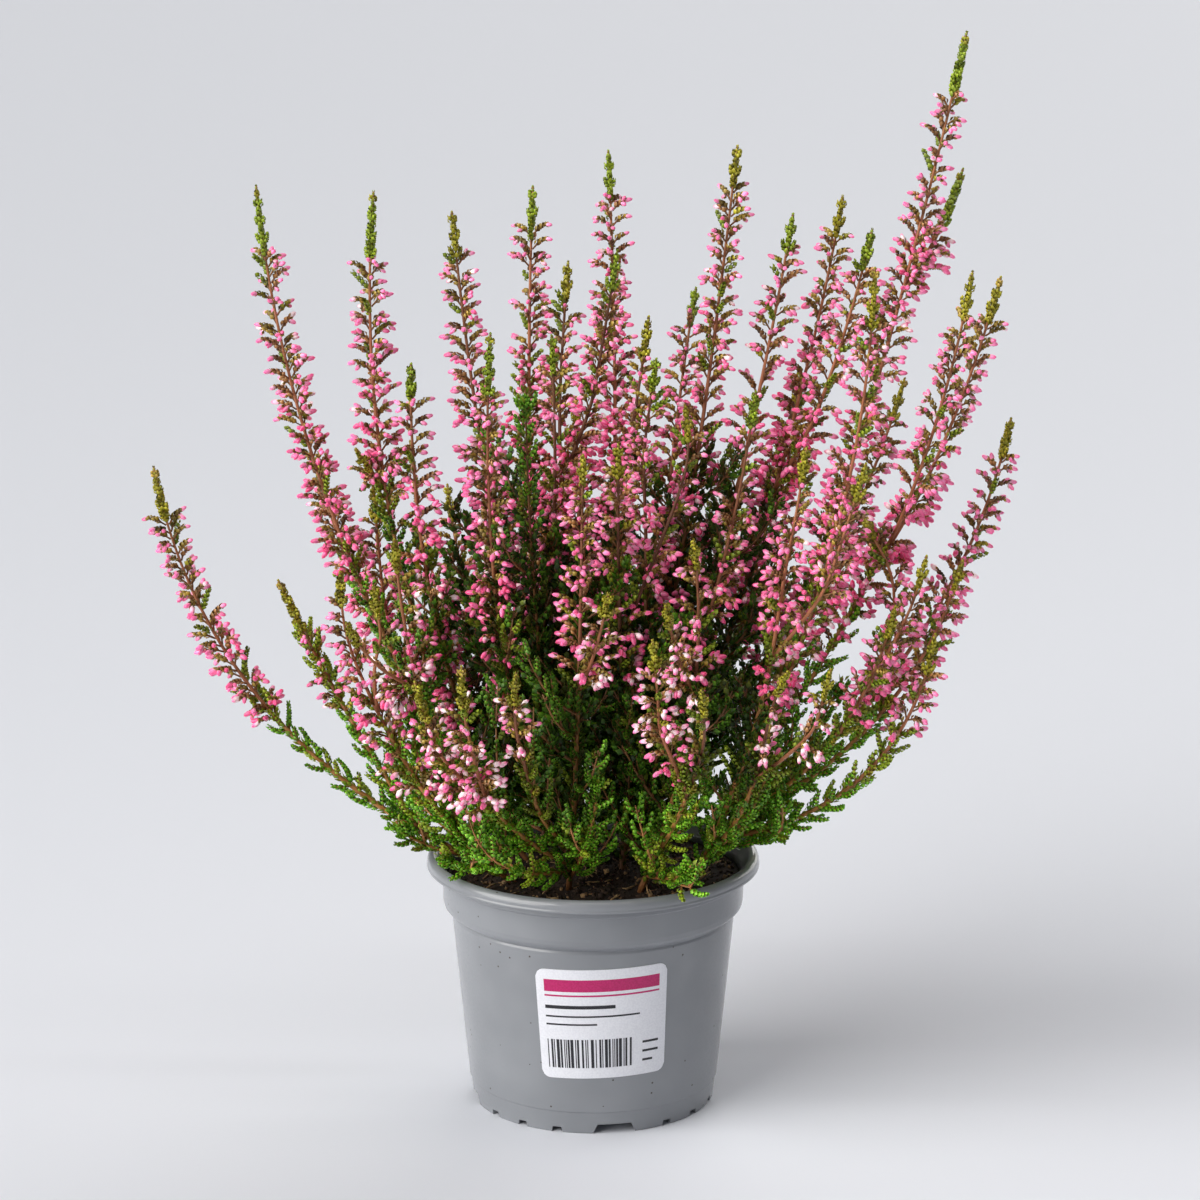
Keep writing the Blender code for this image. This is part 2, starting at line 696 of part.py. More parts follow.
def flower_rod(number, strand, thicket, section, tools):
    """A flower spike, or an arm of one: buds all round it and a leafy tuft on top."""
    chain = thicket.chains[number]
    whole = lengths(chain)[-1]
    start = 0.0 if strand.arm else whole - strand.flowers - strand.tuft + GAP / 2
    tuft = min(strand.tuft, LONGEST_TUFT * whole)
    bloom_end = whole - tuft
    blooms = max(round((bloom_end - start) / FLOWER_BAND), 2)
    tufts = max(round(tuft / TUFT_BAND), 2)
    points = np.vstack([stretch(chain, start, bloom_end, blooms)[:-1],
                        stretch(chain, bloom_end, whole, tufts)])
    radii = np.concatenate([np.full(blooms, FLOWER_CORE_R),
                            np.linspace(TUFT_CORE_R, POINT_R, tufts + 1)])
    radii[0] = STEM_END_R
    taper = np.linspace(1.0, 0.72, blooms)
    reaches = np.concatenate([FLOWER_REACH * taper, np.linspace(TUFT_REACH, 2.2, tufts)])
    lifts = np.concatenate([np.linspace(0.4, 2.0, blooms), np.full(tufts, 2.6)])
    shape = rod(points, radii, number * OWN_TURN, section, tools)
    raise_buds(shape, points, reaches, lifts, number, thicket)
    return shape


def drop_scraps(mesh):
    """Keeps the largest connected body of a mesh, without loose bits and sealed hollows."""
    shape = bmesh.new()
    shape.from_mesh(mesh)
    waiting = set(shape.verts)
    bodies = []
    while waiting:
        body = set()
        front = [waiting.pop()]
        while front:
            corner = front.pop()
            body.add(corner)
            for edge in corner.link_edges:
                following = edge.other_vert(corner)
                if following in waiting:
                    waiting.remove(following)
                    front.append(following)
        bodies.append(body)
    bodies.sort(key=len)
    bmesh.ops.delete(shape, geom=[v for body in bodies[:-1] for v in body], context="VERTS")
    shape.to_mesh(mesh)
    shape.free()


def fused(name, shapes, parts, tools, finish):
    """One closed body of several: a Boolean union that is applied, its operands removed."""
    objects = []
    group = new_collection("arms", tools)
    for number, shape in enumerate(shapes):
        mesh = bpy.data.meshes.new(name)
        shape.to_mesh(mesh)
        shape.free()
        objects.append(add(name if number == 0 else f"{name}_arm", mesh, parts if number == 0 else group))
    body = objects[0]
    if len(objects) > 1:
        union = body.modifiers.new("union", "BOOLEAN")
        union.operation = "UNION"
        union.operand_type = "COLLECTION"
        union.collection = group
        union.solver = "MANIFOLD"
        body_mesh = evaluated(body)
        body.modifiers.clear()
        drop_scraps(body_mesh)
        body.data = body_mesh
    for arm in objects[1:]:
        bpy.data.objects.remove(arm)
    bpy.data.collections.remove(group)
    body.data.materials.clear()
    body.data.materials.append(finish)
    return body


def make_plant(parts, tools, wood, flower):
    """Every branch with its stems fused, and every flower spike with its arms fused."""
    strands = make_strands()
    spread(strands)
    thicket = Thicket(strands)
    section = section_curve(tools)
    for branch in range(len(BRANCHES)):
        shapes = [green_rod(number, strand, thicket, section, tools)
                  for number, strand in enumerate(strands)
                  if strand.branch == branch and not strand.arm]
        fused(f"branch_{branch + 1:02d}", shapes, parts, tools, wood)
    spikes = 1 + max(strand.spike for strand in strands if strand.spike is not None)
    for spike in range(spikes):
        shapes = [flower_rod(number, strand, thicket, section, tools)
                  for number, strand in enumerate(strands) if strand.spike == spike]
        fused(f"spike_{spike + 1:02d}", shapes, parts, tools, flower)
    bpy.data.objects.remove(section)


def main():
    for thing in list(bpy.data.objects):
        bpy.data.objects.remove(thing, do_unlink=True)
    scene = bpy.context.scene.collection
    parts = new_collection("potted_heather", scene)
    cutters = new_collection("cutters", scene)
    make_plant(parts, cutters, material("leafy_wood", (0.09, 0.16, 0.03), 0.6),
               material("heather_flower", (0.66, 0.14, 0.33), 0.5))
    make_pot(parts, cutters, material("grey_plastic", (0.27, 0.29, 0.31), 0.45))
    make_label(parts, material("white_label", (0.80, 0.81, 0.86), 0.5))
    make_soil(parts, cutters, material("potting_soil", (0.03, 0.02, 0.012), 0.95))


main()
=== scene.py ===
# %% [markdown]
# # A heather in flower, in its nursery pot
#
# This lesson dresses a small heather: thirteen woody branches that fork into forty-three flower
# spikes, in a grey plastic pot with a white label. The solids that carry the plant are loaded as
# a fixed frame. Each of them is then replaced by a finer piece that keeps its form, so what is
# learned here is how thousands of small leaves and buds are placed by a few rules.

# %% Load the frame
import json
import math
from collections import namedtuple

import bmesh
import bpy
import numpy as np
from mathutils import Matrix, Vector

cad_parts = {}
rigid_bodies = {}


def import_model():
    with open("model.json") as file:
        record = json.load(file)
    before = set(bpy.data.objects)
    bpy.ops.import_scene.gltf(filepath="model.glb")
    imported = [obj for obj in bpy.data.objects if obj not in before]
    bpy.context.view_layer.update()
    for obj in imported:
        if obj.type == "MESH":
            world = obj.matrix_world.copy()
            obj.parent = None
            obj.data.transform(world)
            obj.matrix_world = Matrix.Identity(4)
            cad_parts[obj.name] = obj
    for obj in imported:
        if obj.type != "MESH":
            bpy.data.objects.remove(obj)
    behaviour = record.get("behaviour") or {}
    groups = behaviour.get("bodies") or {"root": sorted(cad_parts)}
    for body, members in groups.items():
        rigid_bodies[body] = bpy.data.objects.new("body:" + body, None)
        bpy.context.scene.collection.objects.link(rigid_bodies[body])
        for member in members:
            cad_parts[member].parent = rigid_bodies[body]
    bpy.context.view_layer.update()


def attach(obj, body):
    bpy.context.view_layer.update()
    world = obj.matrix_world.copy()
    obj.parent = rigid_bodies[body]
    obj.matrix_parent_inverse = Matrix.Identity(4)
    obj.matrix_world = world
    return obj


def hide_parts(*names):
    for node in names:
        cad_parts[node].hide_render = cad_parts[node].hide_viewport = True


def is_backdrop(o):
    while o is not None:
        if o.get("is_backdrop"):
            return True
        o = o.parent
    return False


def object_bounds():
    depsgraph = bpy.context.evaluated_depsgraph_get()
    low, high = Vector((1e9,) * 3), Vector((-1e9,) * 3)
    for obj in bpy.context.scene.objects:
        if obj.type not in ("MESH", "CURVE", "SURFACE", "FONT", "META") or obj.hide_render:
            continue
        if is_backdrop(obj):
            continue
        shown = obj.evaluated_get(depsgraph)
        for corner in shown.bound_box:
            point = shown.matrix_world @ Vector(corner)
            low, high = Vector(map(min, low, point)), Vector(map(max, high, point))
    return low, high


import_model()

MM = 0.001

# %% [markdown]
# ## The camera
#
# The plant is seen from a little above and from about 1.3 m away, through a long lens. A long
# lens keeps the pot's rim and foot nearly parallel, as a catalogue picture does. The focal
# length, height and tilt were fitted to the pot's circles, so they are plain numbers.

# %% Set up the camera
SENSOR = 36.0
FOCAL = 120.0
CAMERA_PLACE = (0.00226, -1.265, 0.4825)
CAMERA_DOWN = math.radians(13.9)

lens = bpy.data.cameras.new("camera")
lens.sensor_width = SENSOR
lens.lens = FOCAL
camera = bpy.data.objects.new("camera", lens)
camera.location = CAMERA_PLACE
camera.rotation_euler = (math.radians(90) - CAMERA_DOWN, 0.0, 0.0)
bpy.context.scene.collection.objects.link(camera)
bpy.context.scene.camera = camera
print("camera looks down by", round(math.degrees(CAMERA_DOWN), 1), "degrees")

# %% [markdown]
# ## Colours
#
# Colours are easier to judge as the 0 to 255 values that a screen shows, while a shader wants
# linear light. One small helper does the sum for every finish below. The view is set to show
# colours as they are, because a film-like curve would make the pink buds dull.

# %% Turn screen colours into light
bpy.context.scene.view_settings.view_transform = "Standard"


def paint(red, green, blue):
    """A screen colour, 0 to 255, as linear light with full alpha."""
    levels = np.array([red, green, blue]) / 255.0
    light = np.where(levels <= 0.04045, levels / 12.92, ((levels + 0.055) / 1.055) ** 2.4)
    return (*(float(v) for v in light), 1.0)


print("middle grey is", round(paint(128, 128, 128)[0], 3), "in linear light")

# %% [markdown]
# ## Floor and light
#
# The plant stands on a pale table that runs out of sight, so there is no edge behind it. The
# light is a studio's: a very large soft lamp high on the left and in front, a long strip above
# for the gleam on the rim and the buds, a weaker one behind on the right, and an even room. The
# two large lamps are suns with a wide angle, which light the whole table evenly and still give
# the soft shadow to the right of the pot. The one behind keeps that shadow pale.

# %% Lay the floor
FLOOR_WIDE = 12.0
FLOOR_COLOUR = paint(231, 234, 242)
FLOOR_ROUGHNESS = 0.7


def new_material(name, colour, roughness):
    """A Principled material in one colour: the material, its node tree and its shader."""
    material = bpy.data.materials.new(name)
    material.use_nodes = True
    shader = material.node_tree.nodes["Principled BSDF"]
    shader.inputs["Base Color"].default_value = colour
    shader.inputs["Roughness"].default_value = roughness
    return material, material.node_tree, shader


floor_mesh = bpy.data.meshes.new("floor")
plane = bmesh.new()
bmesh.ops.create_grid(plane, x_segments=1, y_segments=1, size=FLOOR_WIDE / 2)
plane.to_mesh(floor_mesh)
plane.free()
floor = bpy.data.objects.new("floor", floor_mesh)
bpy.context.scene.collection.objects.link(floor)
floor_mesh.materials.append(new_material("pale_table", FLOOR_COLOUR, FLOOR_ROUGHNESS)[0])
floor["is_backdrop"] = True
print("floor", FLOOR_WIDE, "m wide")

# %% Hang the lamps and light the room
ROOM_LIGHT = 0.17
ROOM_COLOUR = paint(243, 245, 250)
LAMP_COLOUR = paint(255, 253, 249)
KEY_FROM = Vector((-1.00, -0.60, 0.70))
KEY_STRENGTH = 3.5
KEY_SOFT = math.radians(60)
BACK_FROM = Vector((0.60, 1.05, 0.85))
BACK_STRENGTH = 1.3
LAMP_FACES = Vector((0.0, 0.0, 0.16))
STRIP_PLACE = (0.0, -0.36, 1.40)
STRIP_LONG = 1.4
STRIP_WIDE = 0.10
STRIP_POWER = 3.5


def hang_lamp(name, kind, place, strength):
    """A lamp that faces the plant."""
    data = bpy.data.lights.new(name, kind)
    data.energy = strength
    data.color = LAMP_COLOUR[:3]
    lamp = bpy.data.objects.new(name, data)
    lamp.location = place
    lamp.rotation_euler = (LAMP_FACES - Vector(place)).to_track_quat("-Z", "Y").to_euler()
    bpy.context.scene.collection.objects.link(lamp)
    return data


hang_lamp("key_lamp", "SUN", KEY_FROM, KEY_STRENGTH).angle = KEY_SOFT
hang_lamp("back_lamp", "SUN", BACK_FROM, BACK_STRENGTH).angle = KEY_SOFT
strip = hang_lamp("strip_lamp", "AREA", STRIP_PLACE, STRIP_POWER)
strip.shape = "RECTANGLE"
strip.size = STRIP_LONG
strip.size_y = STRIP_WIDE
room = bpy.data.worlds.new("room")
room.use_nodes = True
air = room.node_tree.nodes["Background"]
air.inputs["Color"].default_value = ROOM_COLOUR
air.inputs["Strength"].default_value = ROOM_LIGHT
bpy.context.scene.world = room
print("key lamp", KEY_STRENGTH, "and room", ROOM_LIGHT)

# %% [markdown]
# ## The plant's plan
#
# A heather branch is a woody stem that forks again and again near the soil, and each fork ends
# in a flower spike. The plan below gives, in millimetres, where each branch stands in the soil
# and where each of its stems ends. It is the same plan that the solids were built from, so the
# fine leaves and buds follow the same stems. Listing the plan keeps the plant's shape in
# one readable table, and the rules after it do the rest.

# %% The plan of the branches
COLLET = 77.6
Stem = namedtuple("Stem", "tip leaves flowers tuft arms via", defaults=((), None))

# For each stem: its tip, the height where it leaves the branch's first stem, the length of its
# flowers, the length of the leafy tuft on top, the arms of its spike, each with its tip and the
# share of the spike below its fork, and a place that the stem passes through.
BRANCHES = (
    ((-31, -3), (
        Stem((-139, -28, 221), 0, 80, 20, (), (-124, -20, 168)),
        Stem((-100, -36, 186), 92, 34, 22, (), (-91, -30, 164)),
        Stem((-65, -12, 99), 84, 0, 0))),
    ((-25, -17), (
        Stem((-79, -50, 192), 0, 46, 14, (((-68, -60, 190), 0.15),)),
        Stem((-63, -32, 199), 96, 40, 13, (((-76, -76, 182), 0.02),)),
        Stem((-56, -30, 140), 90, 0, 0),
        Stem((-49, -40, 96), 84, 0, 0))),
    ((-20, 3), (
        Stem((-108, 10, 305), 0, 112, 24, (), (-93, 8, 222)),
        Stem((-69, -10, 306), 104, 84, 24, (((-76, -16, 224), 0.1),), (-69, -4, 224)),
        Stem((-57, -28, 254), 94, 62, 14, (), (-57, -20, 218)),
        Stem((-68, 16, 156), 92, 0, 0))),
    ((-6, -5), (
        Stem((-45, 0, 298), 0, 92, 17, (), (-37, -3, 229)),
        Stem((-31, -64, 270), 94, 86, 24, (), (-32, -45, 218)),
        Stem((-13, -22, 262), 100, 66, 15, (), (-12, -16, 229)),
        Stem((-8, 25, 278), 88, 78, 15, (((8, 4, 285), 0.2),), (-9, 14, 252)),
        Stem((18, -4, 265), 106, 66, 16, (), (14, -4, 236)),
        Stem((-21, -42, 247), 112, 0, 0),
        Stem((-4, -30, 176), 92, 0, 0))),
    ((-8, -24), (
        Stem((-3, -56, 231), 0, 70, 12, (((5, -78, 192), 0.02),)),
        Stem((-40, -86, 171), 88, 50, 18, (((-55, -78, 164), 0.06),), (-38, -70, 137)),
        Stem((-23, -90, 170), 94, 44, 16, (), (-26, -76, 146)),
        Stem((2, -50, 126), 83, 0, 0),
        Stem((-26, -56, 97), 86, 0, 0))),
    ((9, -11), (
        Stem((20, -36, 257), 0, 72, 14, (), (20, -28, 229)),
        Stem((8, -44, 232), 98, 58, 13, (((29, -24, 240), 0.03),)),
        Stem((51, -38, 247), 92, 84, 14, (), (49, -34, 230)),
        Stem((24, -34, 150), 88, 0, 0))),
    ((16, 5), (
        Stem((46, 0, 319), 0, 100, 15, (), (38, 3, 246)),
        Stem((64, 2, 297), 104, 90, 14, (), (54, 3, 241)),
        Stem((81, 22, 300), 96, 95, 15, (((89, -4, 293), 0.1),), (71, 16, 248)),
        Stem((44, 12, 178), 92, 0, 0))),
    ((15, -26), (
        Stem((31, -62, 205), 0, 50, 13, (((22, -80, 189), 0.05),), (33, -50, 178)),
        Stem((33, -94, 166), 90, 42, 13, (((18, -93, 181), 0.05),), (31, -76, 137)),
        Stem((31, -57, 97), 84, 0, 0))),
    ((32, -16), (
        Stem((66, -60, 234), 0, 64, 14, (((84, -66, 230), 0.06),)),
        Stem((60, -82, 168), 88, 40, 13, (((73, -86, 170), 0.03),), (56, -66, 140)),
        Stem((87, -44, 287), 102, 94, 22, (), (83, -34, 230)),
        Stem((58, -36, 136), 88, 0, 0))),
    ((36, 2), (
        Stem((118, 0, 355), 0, 150, 22, (((119, 13, 310), 0.5),), (97, 2, 262)),
        Stem((119, -26, 283), 108, 96, 17, (((130, -6, 278), 0.05),), (106, -20, 224)),
        Stem((136, 10, 229), 98, 84, 15, (), (115, 6, 170)),
        Stem((108, -46, 171), 87, 50, 16, (), (99, -36, 137)),
        Stem((95, -50, 181), 92, 46, 13, (((106, -32, 193), 0.05),)),
        Stem((118, -28, 191), 90, 50, 13, (((96, -16, 202), 0.05),)),
        Stem((82, 4, 142), 88, 0, 0),
        Stem((66, -6, 96), 84, 0, 0))),
    ((-16, 21), (
        Stem((-20, 58, 298), 0, 86, 16, (), (-21, 50, 263)),
        Stem((-50, 70, 194), 98, 50, 14, (((-62, 82, 176), 0.05),)),
        Stem((-93, 46, 208), 92, 58, 15, (((-73, 30, 203), 0.06),)),
        Stem((-32, 94, 172), 88, 48, 14, (((-46, 90, 164), 0.05),)),
        Stem((-32, 44, 160), 92, 0, 0),
        Stem((-44, 46, 97), 84, 0, 0))),
    ((3, 27), (
        Stem((5, 80, 307), 0, 104, 18, (), (7, 62, 247)),
        Stem((-6, 62, 224), 96, 56, 14, (((16, 84, 219), 0.04),)),
        Stem((8, 95, 178), 87, 48, 14, (((-12, 96, 168), 0.05),)))),
    ((22, 19), (
        Stem((35, 75, 261), 0, 76, 15, (), (29, 56, 225)),
        Stem((69, 40, 240), 98, 66, 14),
        Stem((105, 58, 233), 90, 76, 18, (((95, 74, 179), 0.06),), (99, 48, 217)),
        Stem((64, 86, 205), 94, 52, 14, (((44, 90, 172), 0.05),)),
        Stem((32, 46, 160), 92, 0, 0),
        Stem((42, 42, 98), 84, 0, 0))),
)
print(len(BRANCHES), "branches with", sum(len(stems) for _, stems in BRANCHES), "stems")

# %% [markdown]
# ## The course of a stem
#
# A stem leaves its fork leaning out and then rises, which a smooth curve with one pull point
# draws. Where the plan gives a place on the way, the pull point is chosen so that the
# curve passes through it. A curve object could do the same, but plain arrays are quicker to
# measure, and every leaf below needs to know where its stem is.

# %% Draw one course
COURSE_POINTS = 24
BEND = (0.82, 0.82, 0.38)
ARM_BEND = (0.66, 0.66, 0.42)


def course(foot, tip, via, bend):
    """A stem that first leans out and then rises, from its foot to its tip."""
    if via is None:
        pull = foot + (tip - foot) * np.array(bend)
    else:
        below, above = np.linalg.norm(via - foot), np.linalg.norm(tip - via)
        share = below / (below + above)
        pull = (via - (1 - share) ** 2 * foot - share ** 2 * tip) / (2 * share * (1 - share))
    t = np.linspace(0.0, 1.0, COURSE_POINTS)[:, None]
    return (1 - t) ** 2 * foot + 2 * t * (1 - t) * pull + t ** 2 * tip


def lengths(points):
    """The distance along a chain of points, from its start to each point."""
    steps = np.linalg.norm(np.diff(points, axis=0), axis=1)
    return np.concatenate([[0.0], np.cumsum(steps)])


trial = course(np.zeros(3), np.array([0.0, 0.0, 100.0]), None, BEND)
print("a straight course of", round(float(lengths(trial)[-1])), "mm")

# %% Grow every stem from its parent
class Strand:
    """A stem, or one arm of a spike, as a chain of points from its foot to its tip."""

    def __init__(self, branch, tip, flowers, tuft, via=None, parent=None, spike=None, arm=False):
        self.branch = branch
        self.tip = np.array(tip, float)
        self.via = None if via is None else np.array(via, float)
        self.flowers = flowers
        self.tuft = tuft
        self.parent = parent
        self.spike = spike
        self.arm = arm
        self.join = 0.0
        self.shift = np.zeros((COURSE_POINTS, 3))
        self.points = None

    def lay(self, root=None):
        """Draws the strand again from where it leaves its parent, or from the root."""
        foot = root
        if self.parent is not None:
            at = np.arange(COURSE_POINTS)
            foot = np.array([np.interp(self.join, at, axis) for axis in self.parent.points.T])
        self.points = course(foot, self.tip, self.via, ARM_BEND if self.arm else BEND) + self.shift


def make_strands():
    """Every stem and arm of the table, each after the one that carries it."""
    strands = []
    spikes = 0
    for branch, (place, stems) in enumerate(BRANCHES):
        root = np.array([*place, COLLET], float)
        first = None
        for stem in stems:
            spike = None
            if stem.flowers:
                spike = spikes
                spikes += 1
            strand = Strand(branch, stem.tip, stem.flowers, stem.tuft, stem.via, first, spike)
            if first is None:
                first = strand
                strand.lay(root)
            else:
                steps = np.arange(COURSE_POINTS)
                strand.join = float(np.interp(stem.leaves, first.points[:, 2], steps))
                strand.lay()
            strands.append(strand)
            for tip, share in stem.arms:
                arm = Strand(branch, tip, stem.flowers, stem.tuft, None, strand, spike, arm=True)
                along = lengths(strand.points)
                fork = along[-1] - (stem.flowers + stem.tuft) * (1 - share)
                arm.join = float(np.interp(fork, along, np.arange(COURSE_POINTS)))
                arm.lay()
                strands.append(arm)
    return strands


strands = make_strands()
print(len(strands), "stems and arms")

# %% [markdown]
# ## Stems that keep clear of each other
#
# Forty-three spikes drawn from a table would cross here and there. In the real bush each spike
# has pushed its neighbours aside as it grew. The next cells do the same: wherever two stems
# are nearer than the room that they need, both are moved a little, more in depth than sideways,
# and the curves are smoothed again. A physics engine could do it, but forty small steps of
# plain arithmetic give the same plant each time.

# %% The room that a stem needs
SHOOT_ROOM = 5.0
FLOWER_ROOM = 7.4
TUFT_ROOM = 4.4
FORK_EASE = 30.0
WATCHED = 25.0


def room(strand):
    """How far each point of a strand keeps its neighbours off."""
    along = lengths(strand.points)
    left = along[-1] - along
    result = np.full(COURSE_POINTS, SHOOT_ROOM)
    if strand.spike is not None:
        flowering = strand.flowers + strand.tuft
        result[(left < flowering) | strand.arm] = FLOWER_ROOM
        result[left < strand.tuft] = TUFT_ROOM
    return result


def neighbours(strands):
    """Pairs of points of different strands that may come near, and the distance that each needs."""
    points = np.concatenate([s.points for s in strands])
    rooms = np.concatenate([room(s) for s in strands])
    owner = np.repeat(np.arange(len(strands)), COURSE_POINTS)
    branch = np.array([s.branch for s in strands])[owner]
    age = np.concatenate([lengths(s.points) if s.parent is not None
                          else np.full(COURSE_POINTS, FORK_EASE) for s in strands])
    distance = np.linalg.norm(points[:, None, :] - points[None, :, :], axis=2)
    need = rooms[:, None] + rooms[None, :]
    one, other = np.nonzero((owner[:, None] != owner[None, :]) & (distance < need + WATCHED))
    ease = np.minimum(np.minimum(age[one], age[other]) / FORK_EASE, 1.0)
    ease[branch[one] != branch[other]] = 1.0
    return one, other, (rooms[one] + rooms[other]) * ease


print(len(neighbours(strands)[0]) // 2, "pairs of stem points to watch")

# %% Bend the stems clear
ROUNDS = 40
SIDEWAYS = 0.5
LONGEST_PUSH = 1.6
HELD = 0.3


def spread(strands):
    """Bends stems that would touch clear of each other, more in depth than sideways."""
    one, other, need = neighbours(strands)
    hold = np.minimum(np.linspace(0.0, 1.0, COURSE_POINTS) / HELD, 1.0)[:, None]
    for _ in range(ROUNDS):
        points = np.concatenate([s.points for s in strands])
        away = points[one] - points[other]
        distance = np.linalg.norm(away, axis=1) + 1e-6
        share = 0.5 * np.maximum(need - distance, 0.0) / distance
        push = np.stack([np.bincount(one, away[:, axis] * share, len(points)) * much
                         for axis, much in enumerate((SIDEWAYS, 1.0, 0.0))], axis=1)
        size = np.linalg.norm(push, axis=1, keepdims=True) + 1e-9
        push *= np.minimum(LONGEST_PUSH / size, 1.0)
        for number, strand in enumerate(strands):
            rows = slice(number * COURSE_POINTS, (number + 1) * COURSE_POINTS)
            shift = strand.shift + push[rows] * hold
            shift[1:-1] = 0.25 * shift[:-2] + 0.5 * shift[1:-1] + 0.25 * shift[2:]
            strand.shift = shift
            strand.lay(strand.points[0] if strand.parent is None else None)


def smooth(points, times=4):
    """A finer chain of points through the given ones."""
    before = np.vstack([2 * points[0] - points[1], points[:-2]])
    after = np.vstack([points[2:], 2 * points[-1] - points[-2]])
    t = (np.arange(times) / times)[None, :, None]
    a, b, c, d = (side[:, None, :] for side in (before, points[:-1], points[1:], after))
    fine = 0.5 * (2 * b + (c - a) * t + (2 * a - 5 * b + 4 * c - d) * t ** 2
                  + (3 * b - a - 3 * c + d) * t ** 3)
    return np.vstack([fine.reshape(-1, 3), points[-1]])


spread(strands)
chains = [smooth(strand.points) for strand in strands]
print("longest bend", round(float(max(np.abs(s.shift).max() for s in strands)), 1), "mm")

# %% [markdown]
# ## A heap for many small shapes
#
# The plant has thousands of leafy shoots and thousands of buds. As separate objects they would
# be slow, and instances are lost when a model is exported. So each small shape is a template of
# a few corners, and array sums stamp all its copies into one heap of triangles, which becomes
# one mesh. Each corner also keeps four numbers for its finish: how far along its leaf or bud it
# lies, how bright and of which kind that leaf is, and how far round it lies.

# %% Helpers for directions
STRAY = np.array([0.83, 0.21, -0.52])


def unit(rows):
    """Each row as a direction of length one."""
    return rows / np.maximum(np.linalg.norm(rows, axis=-1, keepdims=True), 1e-9)


def square_to(way, turn):
    """A direction square to each way, turned round it from a fixed start, in radians."""
    start = unit(np.cross(way, STRAY))
    other = np.cross(way, start)
    turn = np.broadcast_to(turn, len(way))[:, None]
    return start * np.cos(turn) + other * np.sin(turn)


def owners(counts):
    """For counts 2, 3: the owners 0 0 1 1 1 and the ranks 0 1 0 1 2."""
    owner = np.repeat(np.arange(len(counts)), counts)
    return owner, np.arange(len(owner)) - np.repeat(np.cumsum(counts) - counts, counts)


def between(pair, share):
    """A value that runs from the first of a pair to the second."""
    return pair[0] + (pair[1] - pair[0]) * share


upward = np.array([[0.0, 0.0, 1.0]])
print("a way up and a direction square to it:", square_to(upward, 0.0)[0].round(2))

# %% The heap
TONES = 6
KINDS = 5
Shape = namedtuple("Shape", "corners faces along around")


class Heap:
    """Copies of small shapes as one pile of triangles, each with its finish."""

    def __init__(self):
        self.corners, self.faces, self.shades, self.finishes = [], [], [], []
        self.count = 0

    def add(self, finish, corners, faces, along, around, tone, kind):
        """Adds copies: corners is copies x corners x 3, and tone and kind are one for each copy."""
        copies, size = corners.shape[:2]
        starts = self.count + size * np.arange(copies)
        tone = np.rint(np.clip(np.broadcast_to(tone, copies), 0, 1) * (TONES - 1)) / (TONES - 1)
        kind = np.rint(np.clip(np.broadcast_to(kind, copies), 0, 1) * (KINDS - 1)) / (KINDS - 1)
        shade = np.empty((copies, size, 4))
        shade[..., 0] = along
        shade[..., 1] = tone[:, None]
        shade[..., 2] = kind[:, None]
        shade[..., 3] = around
        self.corners.append(corners.reshape(-1, 3))
        self.faces.append((starts[:, None, None] + faces[None]).reshape(-1, 3))
        self.shades.append(shade.reshape(-1, 4))
        self.finishes.append(np.full(copies * len(faces), finish))
        self.count += copies * size

    def stamp(self, finish, shape, place, way, side, size, tone, kind):
        """Copies of a template: side, front and way are its axes, size its three scales."""
        front = np.cross(way, side)
        size = np.broadcast_to(np.asarray(size, float), (len(place), 3))
        axes = np.stack([side * size[:, :1], front * size[:, 1:2], way * size[:, 2:]], axis=1)
        corners = place[:, None, :] + np.einsum("kc,nci->nki", shape.corners, axes)
        self.add(finish, corners, shape.faces, shape.along, shape.around, tone, kind)


print("a finish has", TONES, "levels of brightness and", KINDS, "kinds")

# %% Tubes for stems and stalks
def tubes(heap, finish, paths, radii, sides, tone, kind):
    """Round tubes along paths (tubes x points x 3), with a radius for each point."""
    number, points = paths.shape[:2]
    way = unit(np.gradient(paths, axis=1)).reshape(-1, 3)
    radii = np.broadcast_to(radii, (number, points)).reshape(-1, 1)
    rings = np.stack([paths.reshape(-1, 3) + radii * square_to(way, math.tau * k / sides)
                      for k in range(sides)], axis=1)
    corners = rings.reshape(number, points * sides, 3)
    low = (np.arange(points - 1)[:, None] * sides + np.arange(sides)[None]).ravel()
    beside = (np.arange(points - 1)[:, None] * sides + (np.arange(sides) + 1)[None] % sides).ravel()
    faces = np.concatenate([np.stack([low, beside, beside + sides], axis=1),
                            np.stack([low, beside + sides, low + sides], axis=1)])
    ends = [[0, k + 1, k] for k in range(1, sides - 1)]
    last = (points - 1) * sides
    ends += [[last, last + k, last + k + 1] for k in range(1, sides - 1)]
    faces = np.concatenate([faces, np.array(ends)])
    along = np.repeat(np.linspace(0.0, 1.0, points), sides)
    around = np.tile(1.0 - np.abs(1.0 - 2.0 * np.arange(sides) / sides), points)
    heap.add(finish, corners, faces, along, around, tone, kind)


trial_heap = Heap()
tubes(trial_heap, 0, np.array([[[0, 0, 0], [0, 0, 5], [0, 0, 10.0]]]), 1.0, 3, 0.5, 0.5)
print("a stalk of two stretches has", sum(len(f) for f in trial_heap.faces), "triangles")

# %% [markdown]
# ## The templates: a scale leaf and a bud
#
# Heather leaves are scales of a millimetre or two, pressed to the shoot in four rows. Each is a
# keeled lozenge: four triangles round a raised middle, smooth shaded. Deep in the bush a larger
# leaf folded from two triangles does, and fewer of them. A bud is a small egg of pink sepals
# that narrows to its stalk: three rings of six corners and a tip. More faces would not show at
# this size.

